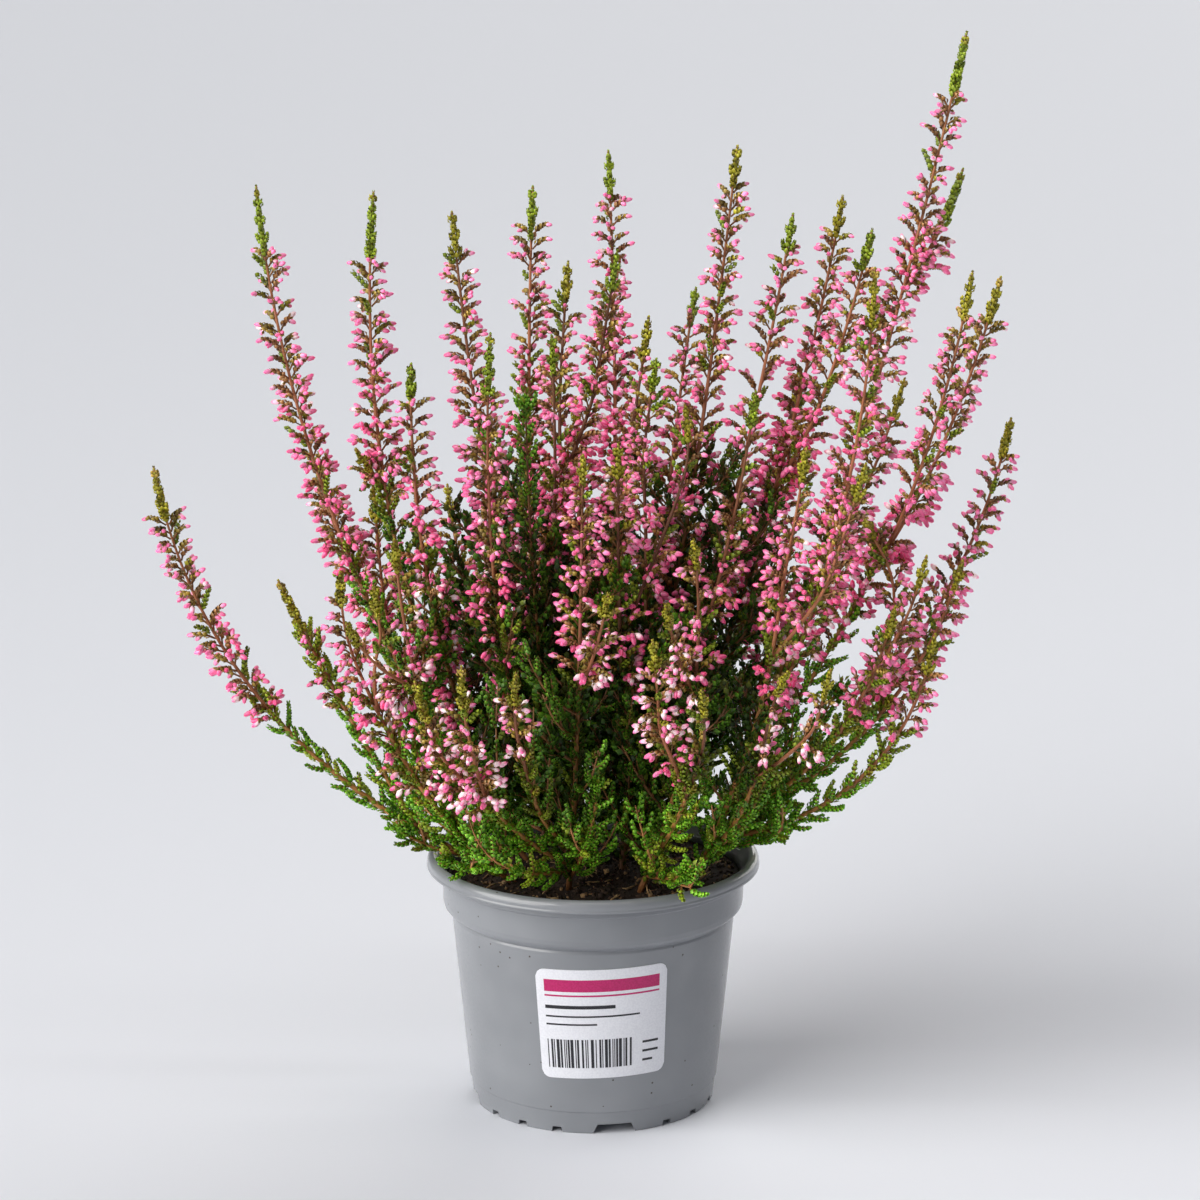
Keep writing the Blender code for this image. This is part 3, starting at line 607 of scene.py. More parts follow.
# %% Template of a scale leaf
LEAF = Shape(
    corners=np.array([(0.0, 0.0, 0.0), (-0.5, 0.06, 0.54), (0.5, 0.06, 0.54), (0.0, 0.06, 1.0),
                      (0.0, 0.42, 0.58)]),
    faces=np.array([(0, 1, 4), (1, 3, 4), (3, 2, 4), (2, 0, 4)]),
    along=np.array([0.0, 0.5, 0.5, 1.0, 0.6]),
    around=np.array([0.5, 1.0, 1.0, 0.5, 0.0]))
FOLDED_LEAF = Shape(
    corners=np.array([(0.0, 0.16, 0.0), (-0.5, 0.0, 0.5), (0.5, 0.0, 0.5), (0.0, 0.22, 1.0)]),
    faces=np.array([(0, 1, 3), (0, 3, 2)]),
    along=np.array([0.0, 0.5, 0.5, 1.0]),
    around=np.array([0.0, 1.0, 1.0, 0.0]))
print("a scale leaf has", len(LEAF.faces), "triangles, a folded one", len(FOLDED_LEAF.faces))

# %% Template of a bud
BUD_SIDES = 6
BUD_RINGS = ((-0.22, 0.14), (0.34, 1.0), (0.79, 0.72))


def bud_template():
    """An egg one unit long and one unit wide, which narrows to its stalk below its foot."""
    corners, along, around = [], [], []
    for height, wide in BUD_RINGS:
        for k in range(BUD_SIDES):
            turn = math.tau * k / BUD_SIDES
            corners.append((0.5 * wide * math.cos(turn), 0.5 * wide * math.sin(turn), height))
            along.append(max(height, 0.0))
            around.append(1.0 - abs(1.0 - 2.0 * k / BUD_SIDES))
    corners.append((0.0, 0.0, 1.0))
    along.append(1.0)
    around.append(0.5)
    faces = []
    for ring in range(len(BUD_RINGS) - 1):
        for k in range(BUD_SIDES):
            a, b = ring * BUD_SIDES + k, ring * BUD_SIDES + (k + 1) % BUD_SIDES
            faces += [(a, b, b + BUD_SIDES), (a, b + BUD_SIDES, a + BUD_SIDES)]
    top = (len(BUD_RINGS) - 1) * BUD_SIDES
    faces += [(top + k, top + (k + 1) % BUD_SIDES, len(corners) - 1) for k in range(BUD_SIDES)]
    return Shape(np.array(corners), np.array(faces), np.array(along), np.array(around))


BUD = bud_template()
print("a bud has", len(BUD.faces), "triangles")

# %% [markdown]
# ## Twigs and their scale leaves
#
# Every side shoot and every flowering sprig is a twig: a short curve with a foot, a pull point
# and a tip. Its leaves sit in pairs, and each pair is turned by a quarter from the one below,
# which gives the four neat rows of a heather shoot.

# %% Twigs as short curves
class Twigs:
    """Many short quadratic curves at once."""

    def __init__(self, foot, pull, tip):
        self.foot, self.pull, self.tip = foot, pull, tip

    def at(self, owner, t):
        """The place and the way at a share of some twigs' length."""
        a, b, c = self.foot[owner], self.pull[owner], self.tip[owner]
        t = t[:, None]
        place = (1 - t) ** 2 * a + 2 * t * (1 - t) * b + t ** 2 * c
        return place, unit((1 - t) * (b - a) + t * (c - b))

    def paths(self, points):
        """Every twig as a chain of points."""
        t = np.linspace(0.0, 1.0, points)[None, :, None]
        a, b, c = self.foot[:, None], self.pull[:, None], self.tip[:, None]
        return (1 - t) ** 2 * a + 2 * t * (1 - t) * b + t ** 2 * c

    def long(self):
        """The length of each twig, nearly."""
        below, above = self.pull - self.foot, self.tip - self.pull
        return np.linalg.norm(below, axis=1) + np.linalg.norm(above, axis=1)


print("a twig is three points")

# %% Leaves along the twigs
PETALS, LEAVES, BARK = range(3)
FINISHES = ("heather_petals", "heather_leaves", "heather_bark")
QUARTER = math.pi / 2
FIRST_LEAF = 0.4
LEAF_CLOSING = 0.6
LEAF_SEAT = 0.2
ROW_STRAY = 0.12
OPENING_STRAY = 0.04
LEAF_TONE_STRAY = 0.06


def leaf_rows(heap, twigs, spacing, leaf, opening, tone, kind, draw, bare=0.0, taper=0.15, shape=LEAF):
    """Pairs of scale leaves along twigs: spacing and leaf (wide, thick, long) in millimetres."""
    counts = np.maximum(np.rint(twigs.long() * (1 - bare) / spacing).astype(int), 2)
    owner, rank = owners(counts)
    share = bare + (1 - bare) * (rank + FIRST_LEAF) / counts[owner]
    place, way = twigs.at(owner, share)
    phase = draw.uniform(0, math.tau, len(counts))[owner]
    size = np.array(leaf) * (1.0 - taper * share ** 2)[:, None]
    tones = np.broadcast_to(tone, len(counts))[owner]
    kinds = np.broadcast_to(kind, len(counts))[owner]
    for half in (0, 2):
        turn = phase + (rank + half) * QUARTER + draw.normal(0, ROW_STRAY, len(rank))
        out = square_to(way, turn)
        open_by = opening * (1.0 - LEAF_CLOSING * share) + draw.normal(0, OPENING_STRAY, len(rank))
        leaf_way = way * np.cos(open_by)[:, None] + out * np.sin(open_by)[:, None]
        seat = place + out * (LEAF_SEAT * size[:, 1:2])
        heap.stamp(LEAVES, shape, seat, leaf_way, unit(np.cross(out, way)), size,
                   tones + draw.normal(0, LEAF_TONE_STRAY, len(rank)), kinds)


print("finishes of the plant:", *FINISHES)

# %% [markdown]
# ## Places on a stem, clear of the pot
#
# Shoots, sprigs and leaves all stand on a stem at some distance from its foot, a little
# unevenly, as nodes do on a real twig. A curve modifier could carry them along the stem. Here
# the place and the way of the stem are read off its chain of points, which works for thousands
# at once. A shoot that would run through the pot or the soil is left out.

# %% Read places off a stem
AHEAD = 0.6
UNEVEN = 0.08


def on_stem(chain, at):
    """Places and ways at some distances along a chain of points."""
    along = lengths(chain)
    here, before, behind = (np.stack([np.interp(at + step, along, axis) for axis in chain.T], axis=1)
                            for step in (0.0, AHEAD, -AHEAD))
    return here, unit(before - behind)


def nodes_between(start, end, pitch, draw):
    """Distances from start to end, about one pitch apart and a little uneven."""
    count = max(int(round((end - start) / pitch)), 1)
    at = start + (np.arange(count) + 0.5) * (end - start) / count
    return at + draw.normal(0, UNEVEN * pitch, count)


places, _ = on_stem(chains[0], np.array([10.0, 20.0]))
print("ten millimetres along the first stem:", places[0].round(1))

# %% Keep out of the pot and the soil
POT_WALL = (46.0, 59.5)
POT_RIM_CLEAR = 85.2
SOIL_CLEAR = 80.0


def outside_pot(points):
    """True for points that lie neither in the soil nor in the pot's wall."""
    across = np.hypot(points[:, 0], points[:, 1])
    in_soil = (across <= POT_WALL[0]) & (points[:, 2] < SOIL_CLEAR)
    in_wall = (across > POT_WALL[0]) & (across < POT_WALL[1]) & (points[:, 2] < POT_RIM_CLEAR)
    return ~(in_soil | in_wall)


print("the pot's axis is outside the wall:", bool(outside_pot(np.array([[0.0, 0.0, 90.0]]))[0]))

# %% [markdown]
# ## Light, thin places and the lowest flowers
#
# A real bush isn't even. Its deep middle gets little light and is dark, some places in front are
# thin, and the flowers begin at another height on each side. Weights could be painted on by
# hand. Three short rules that answer for any place in space do the same, and the shoots and
# flowers below ask them. The light of the first two rules is painted into the colour of the
# shoots, the stem leaves and the bark: painted shade where it is low.

# %% The light that reaches into the bush
BUSH_FOOT = 84.0
BUSH_SPREAD = ((46.0, 0.60), (46.0, 0.42))
DEEP = (0.46, 0.42)
CROWN = (190.0, 60.0)


# This number darkens the colour of shoots, stem leaves and bark: painted shade in the deep middle.
def daylight(places):
    """How lit places in the bush are: 0 in its deep middle, 1 at its outside and its crown."""
    up = np.maximum(places[:, 2] - BUSH_FOOT, 0.0)
    out = np.hypot(*(places[:, axis] / (wide + grow_by * up)
                     for axis, (wide, grow_by) in enumerate(BUSH_SPREAD)))
    high = np.maximum(places[:, 2] - CROWN[0], 0.0) / CROWN[1]
    return np.clip((out - DEEP[0]) / DEEP[1] + high, 0.0, 1.0)


print("daylight on the axis just above the soil:", daylight(np.array([[0.0, 0.0, 90.0]]))[0])

# %% Thin places in the front
Thin = namedtuple("Thin", "across up wide high flowers light")
# A light below one darkens the colour of shoots, stem leaves and bark there: painted shade.
THIN = (
    Thin(-67, 184, 17, 34, 0.28, 0.85),
    Thin(28, 200, 17, 42, 0.45, 0.70),
    Thin(-64, 167, 11, 11, 0.35, 1.00),
    Thin(10, 178, 15, 20, 0.35, 0.60),
    Thin(60, 148, 44, 27, 0.55, 0.75),
    Thin(-9, 229, 14, 18, 0.50, 1.00),
    Thin(48, 236, 38, 28, 0.75, 1.00),
    Thin(50, 228, 14, 26, 0.45, 1.00),
    Thin(97, 225, 20, 30, 0.60, 1.00),
    Thin(97, 180, 16, 25, 0.70, 1.00),
    Thin(66, 179, 14, 18, 0.40, 1.00),
    Thin(-16, 140, 24, 40, 0.60, 0.32),
    Thin(43, 143, 20, 33, 0.60, 0.10))
FRONT = 5.0
THIN_EDGE = (2.2, 2.0)
HOLLOW = 0.5


def left_of(what, places):
    """The share of the flowers or the light that is left at some places, from 0 to 1."""
    left = np.ones(len(places))
    for thin in THIN:
        far = np.hypot((places[:, 0] - thin.across) / thin.wide, (places[:, 2] - thin.up) / thin.high)
        near = np.clip(THIN_EDGE[0] - THIN_EDGE[1] * far, 0.0, 1.0) * (places[:, 1] < FRONT)
        left *= 1.0 - (1.0 - getattr(thin, what)) * near
    return left


print(len(THIN), "thin places,", sum(thin.light < HOLLOW for thin in THIN), "of them dark hollows")

# %% The lowest flowers
BLOOM_LINE = ((-140, 130), (-100, 112), (-65, 104), (-45, 104), (-30, 114), (-14, 156), (2, 150),
              (12, 139), (28, 129), (36, 145), (43, 156), (54, 130), (64, 125), (79, 140),
              (90, 125), (140, 132))
LINE_DEPTH = 80.0
LINE_RISE = 0.22
LINE_EASE = 8.0


def in_bloom(places):
    """How far the flowers have come at some places: 0 below their lowest line, 1 above it."""
    across, up = np.array(BLOOM_LINE).T
    inward = LINE_DEPTH - np.minimum(np.abs(places[:, 1]), LINE_DEPTH)
    line = np.interp(places[:, 0], across, up) + LINE_RISE * inward
    return np.clip((places[:, 2] - line) / LINE_EASE + 0.5, 0.0, 1.0)


print("in bloom on the axis, 200 mm high:", in_bloom(np.array([[0.0, 0.0, 200.0]]))[0])

# %% [markdown]
# ## Green side shoots
#
# Below the flowers, every stem carries short green shoots in opposite pairs, a few millimetres
# apart, each pair turned by a quarter from the last. They leave the stem at about half a right
# angle and curve up. Outside they are fresh green with small close leaves. Deep in the bush their
# colour is darkened as painted shade, and they have fewer and larger leaves. One rule grows all
# shoots of a stem together, because a loop over single shoots would be slow.

# %% Grow the green shoots of one stem
SHOOT_PITCH = 4.0
OUTERMOST_PITCH = 4.8
SHOOT_LONG = 8.8
OUTER_LEAF = (1.8, 1.5, 2.1)
INNER_LEAF = (2.2, 1.7, 2.8)
OUTER_SPACING = 0.95
INNER_SPACING = 1.35
LEAF_OPENING = math.radians(17)
DIM = 0.22
STEM_TONE = 0.11
OUTER_STALK = np.array([0.42, 0.36, 0.15])
INNER_STALK = np.array([0.45, 0.2])
STALK_SIDES = 3
STALK_KIND = 0.2
SHOOT_STRAY = 0.25
SHOOT_LENGTHS = (0.72, 1.18)
SHOOT_STEEP = (0.45, 0.75)
SHOOT_SEAT = 0.4
SHOOT_PULL = (0.42, 0.30)
SHOOT_TIP = 0.98
SHOOT_LIFT = np.array([0, 0, 0.10])
SHOOT_TAPER = 0.3
# A shoot's brightness, from painted shade deep in the bush to painted light outside.
SHOOT_SHADE_TONES = (0.04, 0.78)
TONE_DRAW = (-0.2, 0.28)
TONE_DRAW_LEFT = (0.25, 1.0)
OLIVE_STEP = 0.25
OLIVE_SHARE = 0.15
SHADE_KEPT = (0.8, 1.0)


def side_shoots(heap, chain, start, end, draw, long_at, fresh=0.95, among=1.0, pitch=None):
    """Opposite pairs of leafy shoots along a stem: among is the share that grows among flowers."""
    at = nodes_between(start, end, pitch or SHOOT_PITCH, draw)
    place, way = on_stem(chain, at)
    turn = draw.uniform(0, math.tau) + np.arange(len(at)) * QUARTER
    own = draw.normal(0.0, STEM_TONE)
    for half in (0, 2):
        out = square_to(way, turn + half * QUARTER + draw.normal(0, SHOOT_STRAY, len(at)))
        long = long_at(at) * draw.uniform(*SHOOT_LENGTHS, len(at))
        steep = draw.uniform(*SHOOT_STEEP, len(at))
        rise = way * steep[:, None] + out * (1 - steep)[:, None]
        foot = place + out * SHOOT_SEAT
        pull = foot + (out * SHOOT_PULL[0] + way * SHOOT_PULL[1]) * long[:, None]
        tip = foot + (unit(rise) * SHOOT_TIP + SHOOT_LIFT) * long[:, None]
        left = left_of("light", tip)
        light = daylight(tip) * left
        # Painted shade: the less light reaches a shoot, the darker its colour.
        tones = between(SHOOT_SHADE_TONES, light)
        tones += draw.uniform(*TONE_DRAW, len(at)) * between(TONE_DRAW_LEFT, left)
        tones += own * left
        kinds = fresh - OLIVE_STEP * (draw.random(len(at)) < OLIVE_SHARE)
        kept = between(SHADE_KEPT, left) * between((1.0, among), in_bloom(place))
        clear = outside_pot(tip) & outside_pot(pull) & (draw.random(len(at)) < kept)
        for dim, spacing, leaf, stalk, shape in (
                (False, OUTER_SPACING, OUTER_LEAF, OUTER_STALK, LEAF),
                (True, INNER_SPACING, INNER_LEAF, INNER_STALK, FOLDED_LEAF)):
            pick = ((light < DIM) == dim) & clear
            if not pick.any():
                continue
            twigs = Twigs(foot[pick], pull[pick], tip[pick])
            tubes(heap, BARK, twigs.paths(len(stalk)), stalk, STALK_SIDES, tones[pick], STALK_KIND)
            leaf_rows(heap, twigs, spacing, leaf, LEAF_OPENING, tones[pick], kinds[pick], draw,
                      taper=SHOOT_TAPER, shape=shape)


trial_heap = Heap()
side_shoots(trial_heap, chains[0], 20, 60, np.random.default_rng(1), lambda at: at * 0 + SHOOT_LONG)
print("shoots on 40 mm of stem:", sum(len(f) for f in trial_heap.faces), "triangles")

# %% [markdown]
# ## Flowering sprigs
#
# The flowers of heather are not on the stem itself. Each sits at the end of a tiny sprig, and
# the sprigs stand in opposite pairs all the way up, longer and richer in buds below than above.
# A sprig leaves the stem steeply, bends outward, is clothed in brownish scale leaves, and holds
# one to six pink buds that point out and a little down. The rule below grows all pairs of one
# stretch together: sprigs, their leaves, their buds and a small calyx round each bud.

# %% The size of a sprig along the spike
FLOWER_PITCH = 2.65
SPRIG_LONG = (9.8, 6.0)
SPRIG_BUDS = (4.8, 1.7)
SPRIG_LEAF = (1.9, 1.6, 2.1)
BUD_LONG = (3.2, 2.6)
BUD_WIDE = (1.84, 1.58)
CALYX_LEAF = (1.15, 0.8, 1.6)

print("buds on a sprig, below, in the middle and above:",
      *(round(between(SPRIG_BUDS, s), 1) for s in (0.0, 0.5, 1.0)))

# %% Where the buds point
DOWN = np.array([0.0, 0.0, -1.0])
BUDS_STRAY = 0.7
ALONG_SPRIG = (0.38, 0.94)
END_AIM = (0.7, 0.5, 0.15, 0.25)
SIDE_AIM = (0.25, 0.55, 0.35, 0.75)


def aimed(way, out, swing, weights):
    """A direction mixed from the sprig's way, the way out, down and a swing to some side."""
    return way * weights[0] + out * weights[1] + DOWN * weights[2] + swing * weights[3]


print("a bud at a sprig's end keeps", END_AIM[0], "of the sprig's way, one beside it", SIDE_AIM[0])

# %% Buds on the sprigs
END_STALK = 0.25
SIDE_STALK = (0.6, 1.2)
BUD_GROWTH = (0.82, 1.12)
BUD_KIND = (0.10, 0.50)
BUD_KIND_STRAY = 0.13
PALEST_PINK = 0.6
WHITE_KINDS = (0.8, 1.0)
BUD_TONES = (0.2, 0.95)
CALYX_SEAT = (0.35, 0.25)
CALYX_OPEN = 0.42
CALYX_TONES = (0.2, 0.7)
CALYX_KIND = 0.15


def hang_buds(heap, twigs, out, share, white, draw):
    """Buds near the end of each sprig, each with its stalk and calyx."""
    counts = between(SPRIG_BUDS, share) + draw.normal(0, BUDS_STRAY, len(share))
    owner, rank = owners(np.maximum(np.rint(counts), 1).astype(int))
    last = rank == 0
    t = np.where(last, 1.0, draw.uniform(*ALONG_SPRIG, len(rank)))
    place, way = twigs.at(owner, t)
    swing = square_to(way, draw.uniform(0, math.tau, len(rank)))
    aim = unit(np.where(last[:, None], aimed(way, out[owner], swing, END_AIM),
                        aimed(way, out[owner], swing, SIDE_AIM)))
    base = place + aim * np.where(last, END_STALK, draw.uniform(*SIDE_STALK, len(rank)))[:, None]
    side = square_to(aim, draw.uniform(0, math.tau, len(rank)))
    young = share[owner]
    grown = draw.uniform(*BUD_GROWTH, len(rank))
    wide = between(BUD_WIDE, young) * grown
    size = np.stack([wide, wide, between(BUD_LONG, young) * grown], axis=1)
    kind = BUD_KIND[0] + BUD_KIND[1] * young + draw.normal(0, BUD_KIND_STRAY, len(rank))
    kind = np.clip(kind, 0.0, PALEST_PINK)
    kind = np.where(draw.random(len(rank)) < white, draw.uniform(*WHITE_KINDS, len(rank)), kind)
    heap.stamp(PETALS, BUD, base, aim, side, size, draw.uniform(*BUD_TONES, len(rank)), kind)
    for cover in (side, -side):
        seat = base - aim * CALYX_SEAT[0] + cover * CALYX_SEAT[1]
        heap.stamp(LEAVES, LEAF, seat, unit(aim + cover * CALYX_OPEN), unit(np.cross(cover, aim)),
                   np.array(CALYX_LEAF), draw.uniform(*CALYX_TONES, len(rank)), CALYX_KIND)


print("a bud with its calyx has", len(BUD.faces) + 2 * len(LEAF.faces), "triangles")

# %% All sprigs of one stretch
SPRIG_SHARE = 0.96
LEAFY_SHARE = 0.08
SPRIG_OPENING = math.radians(15)
SPRIG_STRAY = 0.32
SPRIG_LENGTHS = (0.55, 1.15)
SPRIG_SEAT = 0.5
SPRIG_PULL = (0.40, 0.26)
SPRIG_TIP = (0.55, 0.70)
LEAFY_RISE = 0.25
LEAFY_TONE = 0.5
LEAFY_KIND = 0.85
SPRIG_STALK = np.array([0.34, 0.42, 0.34])
SPRIG_STALK_TONE = 0.45
SPRIG_STALK_KIND = 0.4
SPRIG_SPACING = 0.95
SPRIG_TONES = (0.15, 0.85)
SPRIG_KINDS = (0.14, 0.15)
SPRIG_BARE = 0.2


def flowering(heap, chain, start, end, shares, white, draw, kept=SPRIG_SHARE):
    """Pairs of flowering sprigs between two distances along a spike."""
    at = nodes_between(start, end, FLOWER_PITCH, draw)
    place, way = on_stem(chain, at)
    share = np.clip(between(shares, (at - start) / (end - start)), 0, 1)
    first = draw.uniform(0, math.tau)
    for half in (0, 2):
        turn = first + (np.arange(len(at)) + half) * QUARTER + draw.normal(0, SPRIG_STRAY, len(at))
        out = square_to(way, turn)
        long = (between(SPRIG_LONG, share) * draw.uniform(*SPRIG_LENGTHS, len(at)))[:, None]
        foot = place + out * SPRIG_SEAT
        pull = foot + (way * SPRIG_PULL[0] + out * SPRIG_PULL[1]) * long
        tip = foot + (way * SPRIG_TIP[0] + out * SPRIG_TIP[1]) * long
        leafy = draw.random(len(at)) < LEAFY_SHARE
        if leafy.any():
            green = Twigs(foot[leafy], pull[leafy], (tip + way * LEAFY_RISE * long)[leafy])
            leaf_rows(heap, green, OUTER_SPACING, OUTER_LEAF, LEAF_OPENING, LEAFY_TONE, LEAFY_KIND, draw)
        here = kept * in_bloom(tip) * left_of("flowers", tip)
        keep = outside_pot(tip) & ~leafy & (draw.random(len(at)) < here)
        twigs = Twigs(foot[keep], pull[keep], tip[keep])
        tubes(heap, BARK, twigs.paths(len(SPRIG_STALK)), SPRIG_STALK, STALK_SIDES, SPRIG_STALK_TONE,
              SPRIG_STALK_KIND)
        tones = draw.uniform(*SPRIG_TONES, keep.sum())
        kinds = np.clip(draw.normal(*SPRIG_KINDS, keep.sum()), 0, 1)
        leaf_rows(heap, twigs, SPRIG_SPACING, SPRIG_LEAF, SPRIG_OPENING, tones, kinds, draw,
                  bare=SPRIG_BARE, taper=SHOOT_TAPER)
        hang_buds(heap, twigs, out[keep], share[keep], white, draw)


trial_heap = Heap()
flowering(trial_heap, chains[0], 100, 140, (0.0, 1.0), 0.0, np.random.default_rng(1))
print("flowers on 40 mm of stem:", sum(len(f) for f in trial_heap.faces), "triangles")

# %% [markdown]
# ## The leafy tuft on top
#
# A spike ends in a green tuft where the flowers have not yet formed: a column of close scale
# leaves with tiny side knobs in pairs, olive and browner at the tip. It is built from the same
# twigs and leaves, only shorter and denser, and it tapers to a point.

# %% Grow one tuft
TUFT_LEAF = (2.0, 1.6, 2.4)
TUFT_OPENING = math.radians(12)
TUFT_POINT = 1.4
KNOB_LEAF = (1.55, 1.3, 1.8)
KNOB_OPENING = math.radians(12)
KNOB_PITCH = 2.9
KNOB_LONG = (4.0, 1.7)
KNOB_LENGTHS = (0.85, 1.15)
KNOB_SEAT = 0.3
KNOB_LEAN = (0.42, 0.16)
KNOB_PULL = (0.42, 0.75)
KNOB_TIP = 0.88
KNOB_TONES = (0.3, 0.9)
KNOB_SPACING = 0.72
KNOBS_END = 4.0
TUFT_SPACING = 0.9
TUFT_TONE = 0.6
TUFT_TAPER = 0.6
TIP_BROWN = 0.22
BROWN_FROM = 0.72


def tuft(heap, chain, start, end, kind, draw):
    """The leafy end of a stem."""
    middle = (start + end) / 2
    (a, b, c), _ = on_stem(chain, np.array([start, middle, end - TUFT_POINT]))
    spine = Twigs(a[None], (2 * b - (a + c) / 2)[None], c[None])
    leaf_rows(heap, spine, TUFT_SPACING, TUFT_LEAF, TUFT_OPENING, TUFT_TONE, kind, draw,
              taper=TUFT_TAPER)
    at = nodes_between(start, end - KNOBS_END, KNOB_PITCH, draw)
    place, way = on_stem(chain, at)
    share = (at - start) / (end - start)
    first = draw.uniform(0, math.tau)
    for half in (0, 2):
        out = square_to(way, first + (np.arange(len(at)) + half) * QUARTER)
        long = (between(KNOB_LONG, share) * draw.uniform(*KNOB_LENGTHS, len(at)))[:, None]
        foot = place + out * KNOB_SEAT
        lean = between(KNOB_LEAN, share)[:, None]
        knobs = Twigs(foot, foot + (way * KNOB_PULL[0] + out * lean * KNOB_PULL[1]) * long,
                      foot + (way * KNOB_TIP + out * lean) * long)
        tones = draw.uniform(*KNOB_TONES, len(at))
        leaf_rows(heap, knobs, KNOB_SPACING, KNOB_LEAF, KNOB_OPENING, tones,
                  kind - TIP_BROWN * (share > BROWN_FROM), draw, taper=SHOOT_TAPER)


trial_heap = Heap()
tuft(trial_heap, chains[0], 150, 170, 0.5, np.random.default_rng(1))
print("a tuft of 20 mm:", sum(len(f) for f in trial_heap.faces), "triangles")

# %% [markdown]
# ## Bark, spikes and branches
#
# The stems are thin: a little over two millimetres thick where they leave the soil and less than
# one and a half under the flowers. They are reddish brown above and tan below. Each spike and each
# branch is one piece, grown into its own heap and in its own seeded order, so that a change to
# one leaves the others as they are.

# %% The bark of one stretch
STEM_POINT_EVERY = 4.0
BARK_SHADE_TONES = (0.0, 0.65)


def bark(heap, chain, start, end, thick, thin, kind, sides=6):
    """A stem's tube between two distances and two radii, with painted light outside, shade inside."""
    points = max(int((end - start) / STEM_POINT_EVERY), 2) + 1
    path, _ = on_stem(chain, np.linspace(start, end, points))
    middle = path[points // 2:points // 2 + 1]
    # Painted shade: the bark's colour is darker where the bush gives it little light.
    tone = between(BARK_SHADE_TONES, (daylight(middle) * left_of("light", middle))[0])
    tubes(heap, BARK, path[None], np.linspace(thick, thin, points), sides, tone, kind)


print("bark has a ring of corners every", STEM_POINT_EVERY, "mm")

# %% Scale leaves on a stem itself
DRESS_EVERY = 1.7
DRESS_LEAF = (1.5, 1.2, 2.8)
DRESS_OPENING = 0.38
DRESS_SHADE_TONES = (0.0, 0.6)
DRESS_TONE_DRAW = (-0.1, 0.3)
DRESS_TWIST = 1.1
DRESS_STRAY = 0.3


def dress(heap, chain, start, end, radius, kind, draw):
    """Pairs of small leaves that lie against a stem and half hide its bark."""
    at = nodes_between(start, end, DRESS_EVERY, draw)
    place, way = on_stem(chain, at)
    # Painted shade: the stem leaves are darker where the bush gives them little light.
    tone = between(DRESS_SHADE_TONES, daylight(place) * left_of("light", place))
    tone = tone + draw.uniform(*DRESS_TONE_DRAW, len(at))
    for half in (0, 2):
        turn = (np.arange(len(at)) + half) * QUARTER * DRESS_TWIST
        out = square_to(way, turn + draw.normal(0, DRESS_STRAY, len(at)))
        leaf_way = way * math.cos(DRESS_OPENING) + out * math.sin(DRESS_OPENING)
        heap.stamp(LEAVES, FOLDED_LEAF, place + out * radius, leaf_way, unit(np.cross(out, way)),
                   DRESS_LEAF, tone, kind)


print("a pair of stem leaves every", DRESS_EVERY, "mm")

# %% One flower spike
LOWEST_WHITE = 0.6
WHITE_BELOW = 205.0
WHITE_FRONT = -70.0
GREEN_START = 0.12
LONGEST_TUFT = 0.6
HIGH_SPIKE = 235.0
YOUNG_SPIKE = 36
YOUNG_KEPT = 0.45
YOUNG_SHARE = 0.7
FEW_WHITE = 0.06
BARK_END = 1.5
SPIKE_BARK = (0.72, 0.36, 0.95)
BLOOM_STEPS = 40
SPIKE_SHOOT = 6.5
SPIKE_SHOOT_KIND = 0.85
SPIKE_DRESS = (0.6, 0.8)
FIRST_FLOWER = 1.5
HIGH_KINDS = (0.52, 0.72)
LOW_KINDS = (0.42, 0.58)
TUFT_OVERLAP = 1.0


def grow_spike(heap, number, draw):
    """Fills a heap with a spike: its main stem and its arms."""
    for index, strand in enumerate(strands):
        if strand.spike != number:
            continue
        chain = chains[index]
        whole = float(lengths(chain)[-1])
        leafy = min(strand.tuft, LONGEST_TUFT * whole)
        start = 0.0 if strand.arm else whole - strand.flowers - strand.tuft
        bloom_end = whole - leafy
        front = strand.tip[1] < WHITE_FRONT and strand.tip[2] < WHITE_BELOW
        young = strand.flowers < YOUNG_SPIKE
        bark(heap, chain, start, whole - BARK_END, *SPIKE_BARK)
        steps = np.linspace(start, bloom_end, BLOOM_STEPS)
        green_end = steps[in_bloom(on_stem(chain, steps)[0]) < 0.5].max(initial=start)
        if not strand.arm:
            green_end = max(green_end, start + GREEN_START * (bloom_end - start))
        if young:
            green_end = bloom_end
        if green_end > start + 1.0:
            side_shoots(heap, chain, start, green_end, draw, lambda at: at * 0 + SPIKE_SHOOT,
                        SPIKE_SHOOT_KIND)
            dress(heap, chain, start, green_end, *SPIKE_DRESS, draw)
        shares = (YOUNG_SHARE if young else 0.0, 1.0)
        flowering(heap, chain, start + FIRST_FLOWER, bloom_end, shares,
                  LOWEST_WHITE if front else FEW_WHITE, draw, YOUNG_KEPT if young else SPRIG_SHARE)
        kind = draw.uniform(*(HIGH_KINDS if strand.tip[2] > HIGH_SPIKE else LOW_KINDS))
        tuft(heap, chain, bloom_end - TUFT_OVERLAP, whole, kind, draw)


print("most white buds on spikes that end below", WHITE_BELOW, "mm in front")

# %% Leafy sprays inside the bush
SPRAY_EVERY = 9.5
SPRAY_FROM = 6.0
SPRAY_TOP = 212.0
SPRAY_REACH = 66.0
SPRAY_LONG = (22.0, 36.0)
SPRAY_POINTS = 9
OUTER_SPRAYS = 0.7
FAR_OUT = 90.0
SPRAY_PULL = (0.4, 0.2)
SPRAY_TIP = 0.62
SPRAY_LIFT = np.array([0, 0, 0.72])
SPRAY_BARK = (0.6, 0.25, 0.1)
SPRAY_BARE = 3.0
SPRAY_SHOOT = (8.6, 4.0)


